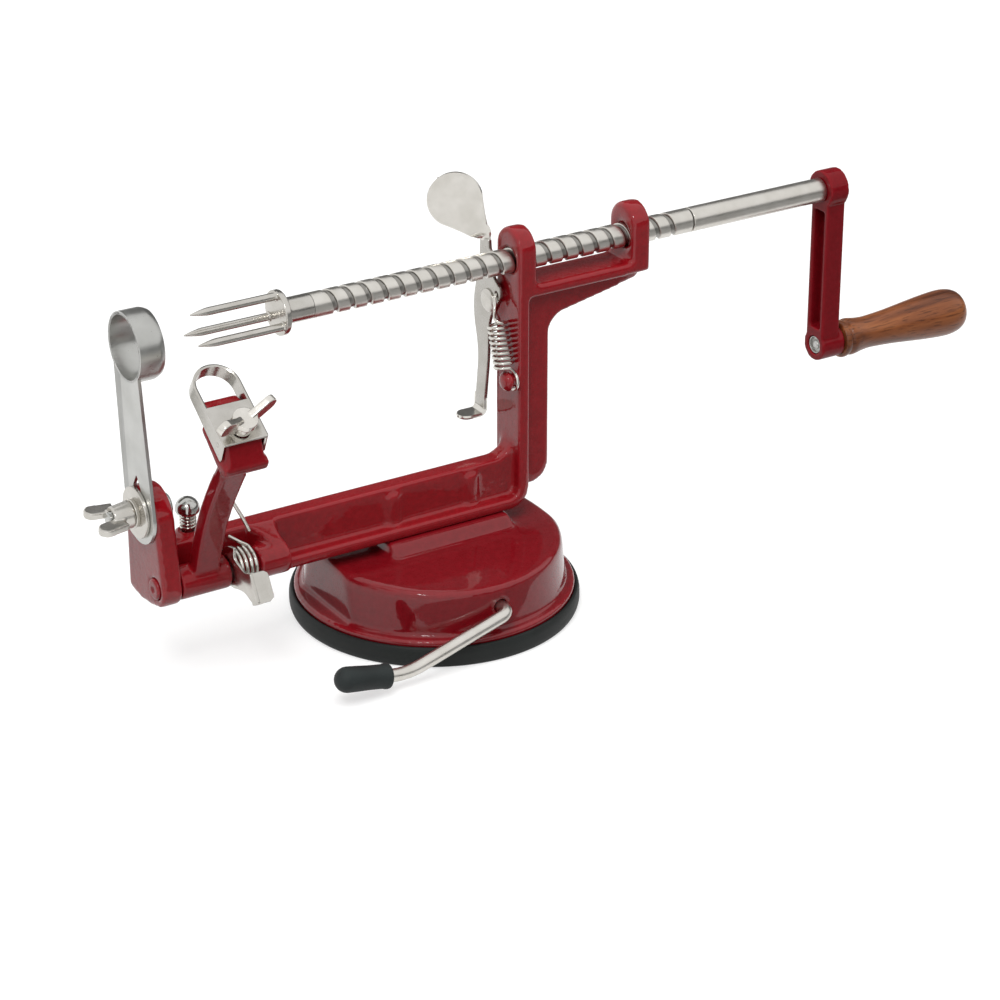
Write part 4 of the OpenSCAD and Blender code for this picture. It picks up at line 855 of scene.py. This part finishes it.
# Latch: a plated stamping that hangs on the rod beside the hub, with an ear above, an arm in
# front and a thumb tab bent to the right at the arm's end.
latch_x, latch_t, tab_w = -94.3, 1.2, 7.0
edge_top, edge_low = np.array((-30.4, 49.2)), np.array((-35.9, 39.6))
latch_line = bend((rod_y, rod_z), 6, -118, 44, 27)
latch_line += eased([latch_line[-1], (-12, 53, 2.5), (-18.6, 54.6, 1.2), (-17.8, 49.8, 2), (-26, 47.6, 2.5),
                     (*edge_top, 0.6), (*edge_low, 0.6), (-31.4, 38, 1.5), (-26, 40, 3), latch_line[0]],
                    1.0)[1:-1]
latch_plate = plate("latch_plate", latch_line, [ring_of((rod_y, rod_z), 4.06)], latch_t, 0.25,
                    facing_left(latch_x))
edge_way = (edge_low - edge_top) / np.linalg.norm(edge_low - edge_top)
inward = np.array((-edge_way[1], edge_way[0]))
latch_mid, fold_r = latch_x + latch_t / 2, 1.5
tab_rows = []
for k in range(13):
    f = k / 12
    at = edge_top + (edge_low - edge_top) * f + inward * 0.55
    short = 1.6 * max(0, abs(2 * f - 1) - 0.72) ** 2 / 0.28 ** 2
    row = [(latch_mid, *(at + inward * d)) for d in (4.0, 2.6, 1.7)]
    row += [(latch_mid + fold_r * (1 - math.cos(a)), *(at + inward * fold_r * (1 - math.sin(a))))
            for a in np.linspace(0.2, math.pi / 2, 7)]
    row += [(latch_x + x - short * (x / tab_w), *at) for x in (2.9, 3.9, 5.0, 6.2, tab_w)]
    tab_rows.append(row)
latch_tab = curved_sheet("latch_tab", tab_rows, latch_t - 0.05)
latch = joined("arm_latch_sheet", [latch_plate, latch_tab])
latch.data.materials.append(nickel_plate("nickel_latch", 0.24, tone=0.84))
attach(latch, "arm_latch")
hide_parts("arm_latch")


# Stop screw: a round-headed slotted screw of bright steel in the boss behind the arm, with
# a small spring under its head that keeps it from working loose.
def crisp_copy(node, name, width):
    piece = node_copy(node, name, flatten=True)
    round_off = piece.modifiers.new("round_off", "BEVEL")
    round_off.width, round_off.segments = width * mm, 2
    round_off.limit_method, round_off.angle_limit = "ANGLE", math.radians(42)
    solid = settled(piece)
    solid.polygons.foreach_set("use_smooth", [True] * len(solid.polygons))
    solid.set_sharp_from_angle(angle=math.radians(36))
    return piece


stop_screw = crisp_copy("stop_screw", "stop_screw_steel", 0.2)
stop_screw.data.materials.append(plain_steel("bright_stop", 0.16))
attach(stop_screw, "frame")
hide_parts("stop_screw")

stop_turns = [math.radians(45 * k) for k in range(33)]
stop_route = [(2.8 * math.cos(a), 2.8 * math.sin(a), 55.9 + 5.2 * k / 32) for k, a in enumerate(stop_turns)]
stop_spring = drawn_wire("stop_spring_wire", flowing(stop_route, 4), 0.8, turned((-101.5, 3, 0)), sides=10)
stop_spring.data.materials.append(nickel_plate("nickel_stop_spring", 0.17))
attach(stop_spring, "frame")
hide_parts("stop_spring")


# Peeling blade: a slotted plate of plated steel, folded down into a strap that makes its two
# side walls and runs round in a sharp-edged nose. A winged thumb screw clamps it on the arm.
head_slope = 34
on_head = turned((-104.2, -51.5, 111.8), head_slope)
half, sheet_t, wall_h, nose_u, plate_l = 8.8, 1.1, 8.2, 24.5, 16.5
strap_mid = half - sheet_t / 2
strap_path = [(-strap_mid, u) for u in (0, 0.5, 1, 2, 4, 7, 10, 13, 15, 16, 17, 18, 20, 22, 23.4)]
strap_path += bend((0, nose_u), strap_mid, 180, 0, 32) + [(-x, u) for x, u in strap_path[::-1]]
strap_rows = []
for x, u in strap_path:
    top, low = -0.33, -wall_h + 0.063 * (u + 1) + 0.3
    row = []
    for k in range(9):
        n = top + (low - top) * k / 8
        front = 0.9 + 1.6 * n / wall_h
        row.append((x, front + u * (2 - front) / 2 if u < 2 else u, n))
    strap_rows.append(row)
strap = curved_sheet("blade_strap", strap_rows, sheet_t, on_head)
slot_line = bend((0, 4), 2.5, 180, 360, 19) + bend((0, 8), 2.5, 0, 180, 19)
top_half = half - 0.25
top_line = eased([(-top_half, 0.1), (top_half, 0.1), (top_half, plate_l), (-top_half, plate_l)], 0.3,
                 closed=True)
blade_top = plate("blade_top", top_line, [slot_line], sheet_t, 0.3,
                  on_head @ Matrix.Translation((0, 0, -sheet_t)))
on_wall = on_head @ Matrix.Translation((-half, 3.4, -3.6)) @ Matrix.Rotation(math.radians(-90), 4, "Y")
dot = spun("wall_rivet", eased([(0, -0.3), (0.9, -0.3), (0.9, 0.1), (0.5, 0.22), (0, 0.26)], 0.1), on_wall,
           sides=20)
peel_blade = joined("peel_blade_sheet", [strap, blade_top, dot])
peel_blade.data.materials.append(nickel_plate("nickel_blade", 0.2, (1, 1, 1), 0.05, tone=0.78))
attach(peel_blade, "peeling_arm")
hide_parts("peel_blade")

# Painted highlight: the thumb screw gets a lighter copy of the nickel (tone 1.05) than the blade's plate
# (0.78), so that its knob stands out bright like a lit top against the plate.
thumb_screw = cast_copy("wing_screw", "thumb_screw_cast", 0.22, 7)
thumb_screw.data.materials.append(nickel_plate("nickel_thumb_screw_painted_highlight", 0.2, tone=1.05))
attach(thumb_screw, "wing_screw")
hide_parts("wing_screw")


# Slicing blade: a flat steel blade, slotted at its foot so that it can be set higher or
# lower, ground to an edge along its back, with the coring ring welded round its eye.
blade_x, blade_t, ring_r, ring_bore = -123.05, 1.4, 13.0, 11.8
foot_half, slot_r = 12.0, 2.8
blade_line = bend((bolt_y, bolt_z), foot_half, 180, 360, 30)
blade_line += [(9.5, 123.7)] + bend((0, shaft_z), ring_r, -43, 222, 53) + [(-9.5, 123.7)]
slot_line = bend((bolt_y, bolt_z - 7), slot_r, 180, 360, 18)
slot_line += [(bolt_y + slot_r, bolt_z + 10), (bolt_y + 0.4, bolt_z + 14), (bolt_y - 0.4, bolt_z + 14),
              (bolt_y - slot_r, bolt_z + 10)]
slicer_plate = plate("slicer_plate", blade_line, [slot_line, ring_of((0, shaft_z), ring_bore, 72)],
                     blade_t, 0.12, facing_left(blade_x - blade_t))
grind_low, grind_high = (1.2, 62.0), (4.4, 121.0)
grind_deep, grind_wide, grind_end, grind_fade = 1.05, 7.0, 119, 6
grind_from = Vector((0, *grind_low)) * mm
grind_way = Vector((0, grind_high[0] - grind_low[0], grind_high[1] - grind_low[1])).normalized()
grind_out = Vector((0, grind_way.z, -grind_way.y))
bm = bmesh.new()
bm.from_mesh(slicer_plate.data)
bmesh.ops.bisect_plane(bm, geom=bm.verts[:] + bm.edges[:] + bm.faces[:], dist=1e-8,
                       plane_co=grind_from, plane_no=grind_out)
for v in bm.verts:
    past = (v.co - grind_from).dot(grind_out) / mm
    if past > 0 and v.co.z < grind_high[1] * mm and v.co.x < (blade_x - blade_t / 2) * mm:
        run_out = min(max((grind_end - v.co.z / mm) / grind_fade, 0), 1)
        v.co.x += min(past / grind_wide, 1) * grind_deep * mm * run_out
for face in bm.faces:
    middle = face.calc_center_median()
    past = (middle - grind_from).dot(grind_out) / mm
    face.material_index = 1 if past > 0 and middle.z < grind_end * mm else 0
bm.to_mesh(slicer_plate.data)
bm.free()
slicer_plate.data.set_sharp_from_angle(angle=math.radians(5))
core_line = eased([(ring_bore, 0, 0.1), (ring_r, 0, 0.4), (ring_r, 8.2, 1), (12.15, 10, 0.08),
                   (ring_bore, 10, 0.08)], 0.2, closed=True)
core_ring = spun("core_ring", core_line, stand((blade_x - blade_t, 0, shaft_z), (1, 0, 0)), closed=True)
slicer = joined("slicing_blade_steel", [slicer_plate, core_ring])
slicer.data.materials.append(plain_steel("brushed_blade", 0.3, (1, 3, 0.12)))
slicer.data.materials.append(plain_steel("ground_blade", 0.36, (1, 0.3, 6), tone=0.72))
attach(slicer, "slicer")
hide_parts("slicing_blade")


# Blade fastening: a threaded bolt of bright steel through the bracket, with a broad flat
# washer, a split spring washer and a cast wing nut, all three plated.
washer_in, washer_t = -124.5, 1.5
fine_cut = [(-0.4, 0), (-0.36, 0), (-0.2, 0.24), (-0.05, 0.42), (0.05, 0.42), (0.2, 0.24), (0.36, 0)]
bolt_shank = threaded("bolt_shank", (bolt_y, bolt_z), -136.3, -128.5, 2.5, 0.8, -135.9, 9.2, fine_cut,
                      [(-136.7, 2.05), (-136.7, 0)], [(-114, 2.5), (-114, 0)], around=32)
bolt_head = spun("bolt_head", eased([(0, 0), (5, 0, 0.2), (5, 1.4), (4.2, 2.4), (1, 2.6), (0, 2.6)], 0.5),
                 stand((-115, bolt_y, bolt_z), (1, 0, 0)), sides=48)
bolt = joined("blade_bolt_steel", [bolt_shank, bolt_head])
bolt.data.materials.append(plain_steel("bright_blade_bolt", 0.25))
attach(bolt, "frame")
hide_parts("blade_bolt")

flat_line = eased([(2.6, 0), (9.6, 0), (9.6, washer_t), (2.6, washer_t)], 0.35, closed=True)
flat_washer = spun("flat_washer_ring", flat_line, stand((washer_in, bolt_y, bolt_z), (-1, 0, 0)), closed=True)
flat_washer.data.materials.append(nickel_plate("nickel_washer", 0.22, tone=0.84))
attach(flat_washer, "frame")
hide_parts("flat_washer")

square = eased([(-1.0, -1.0), (1.0, -1.0), (1.0, 1.0), (-1.0, 1.0)], 0.35, closed=True, steps=3)
split_r, split_half = 4.5, 0.85
split_route = [(washer_in - washer_t - split_half - 0.05 * math.sin(math.radians(2 + 2 * k)), y, z)
               for k, (y, z) in enumerate(bend((bolt_y, bolt_z), split_r, 64, 416, 88))]
split_washer = drawn_wire("split_washer_ring", split_route, 1.6, section=square, round_ends=0.02)
split_washer.data.materials.append(nickel_plate("nickel_split_washer", 0.24, tone=0.84))
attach(split_washer, "frame")
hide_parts("lock_washer")

wing_nut = cast_copy("wing_nut", "wing_nut_cast", 0.25, 7)
wing_nut.data.materials.append(nickel_plate("nickel_wing_nut", 0.22, tone=0.84))
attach(wing_nut, "wing_nut")
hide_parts("wing_nut")
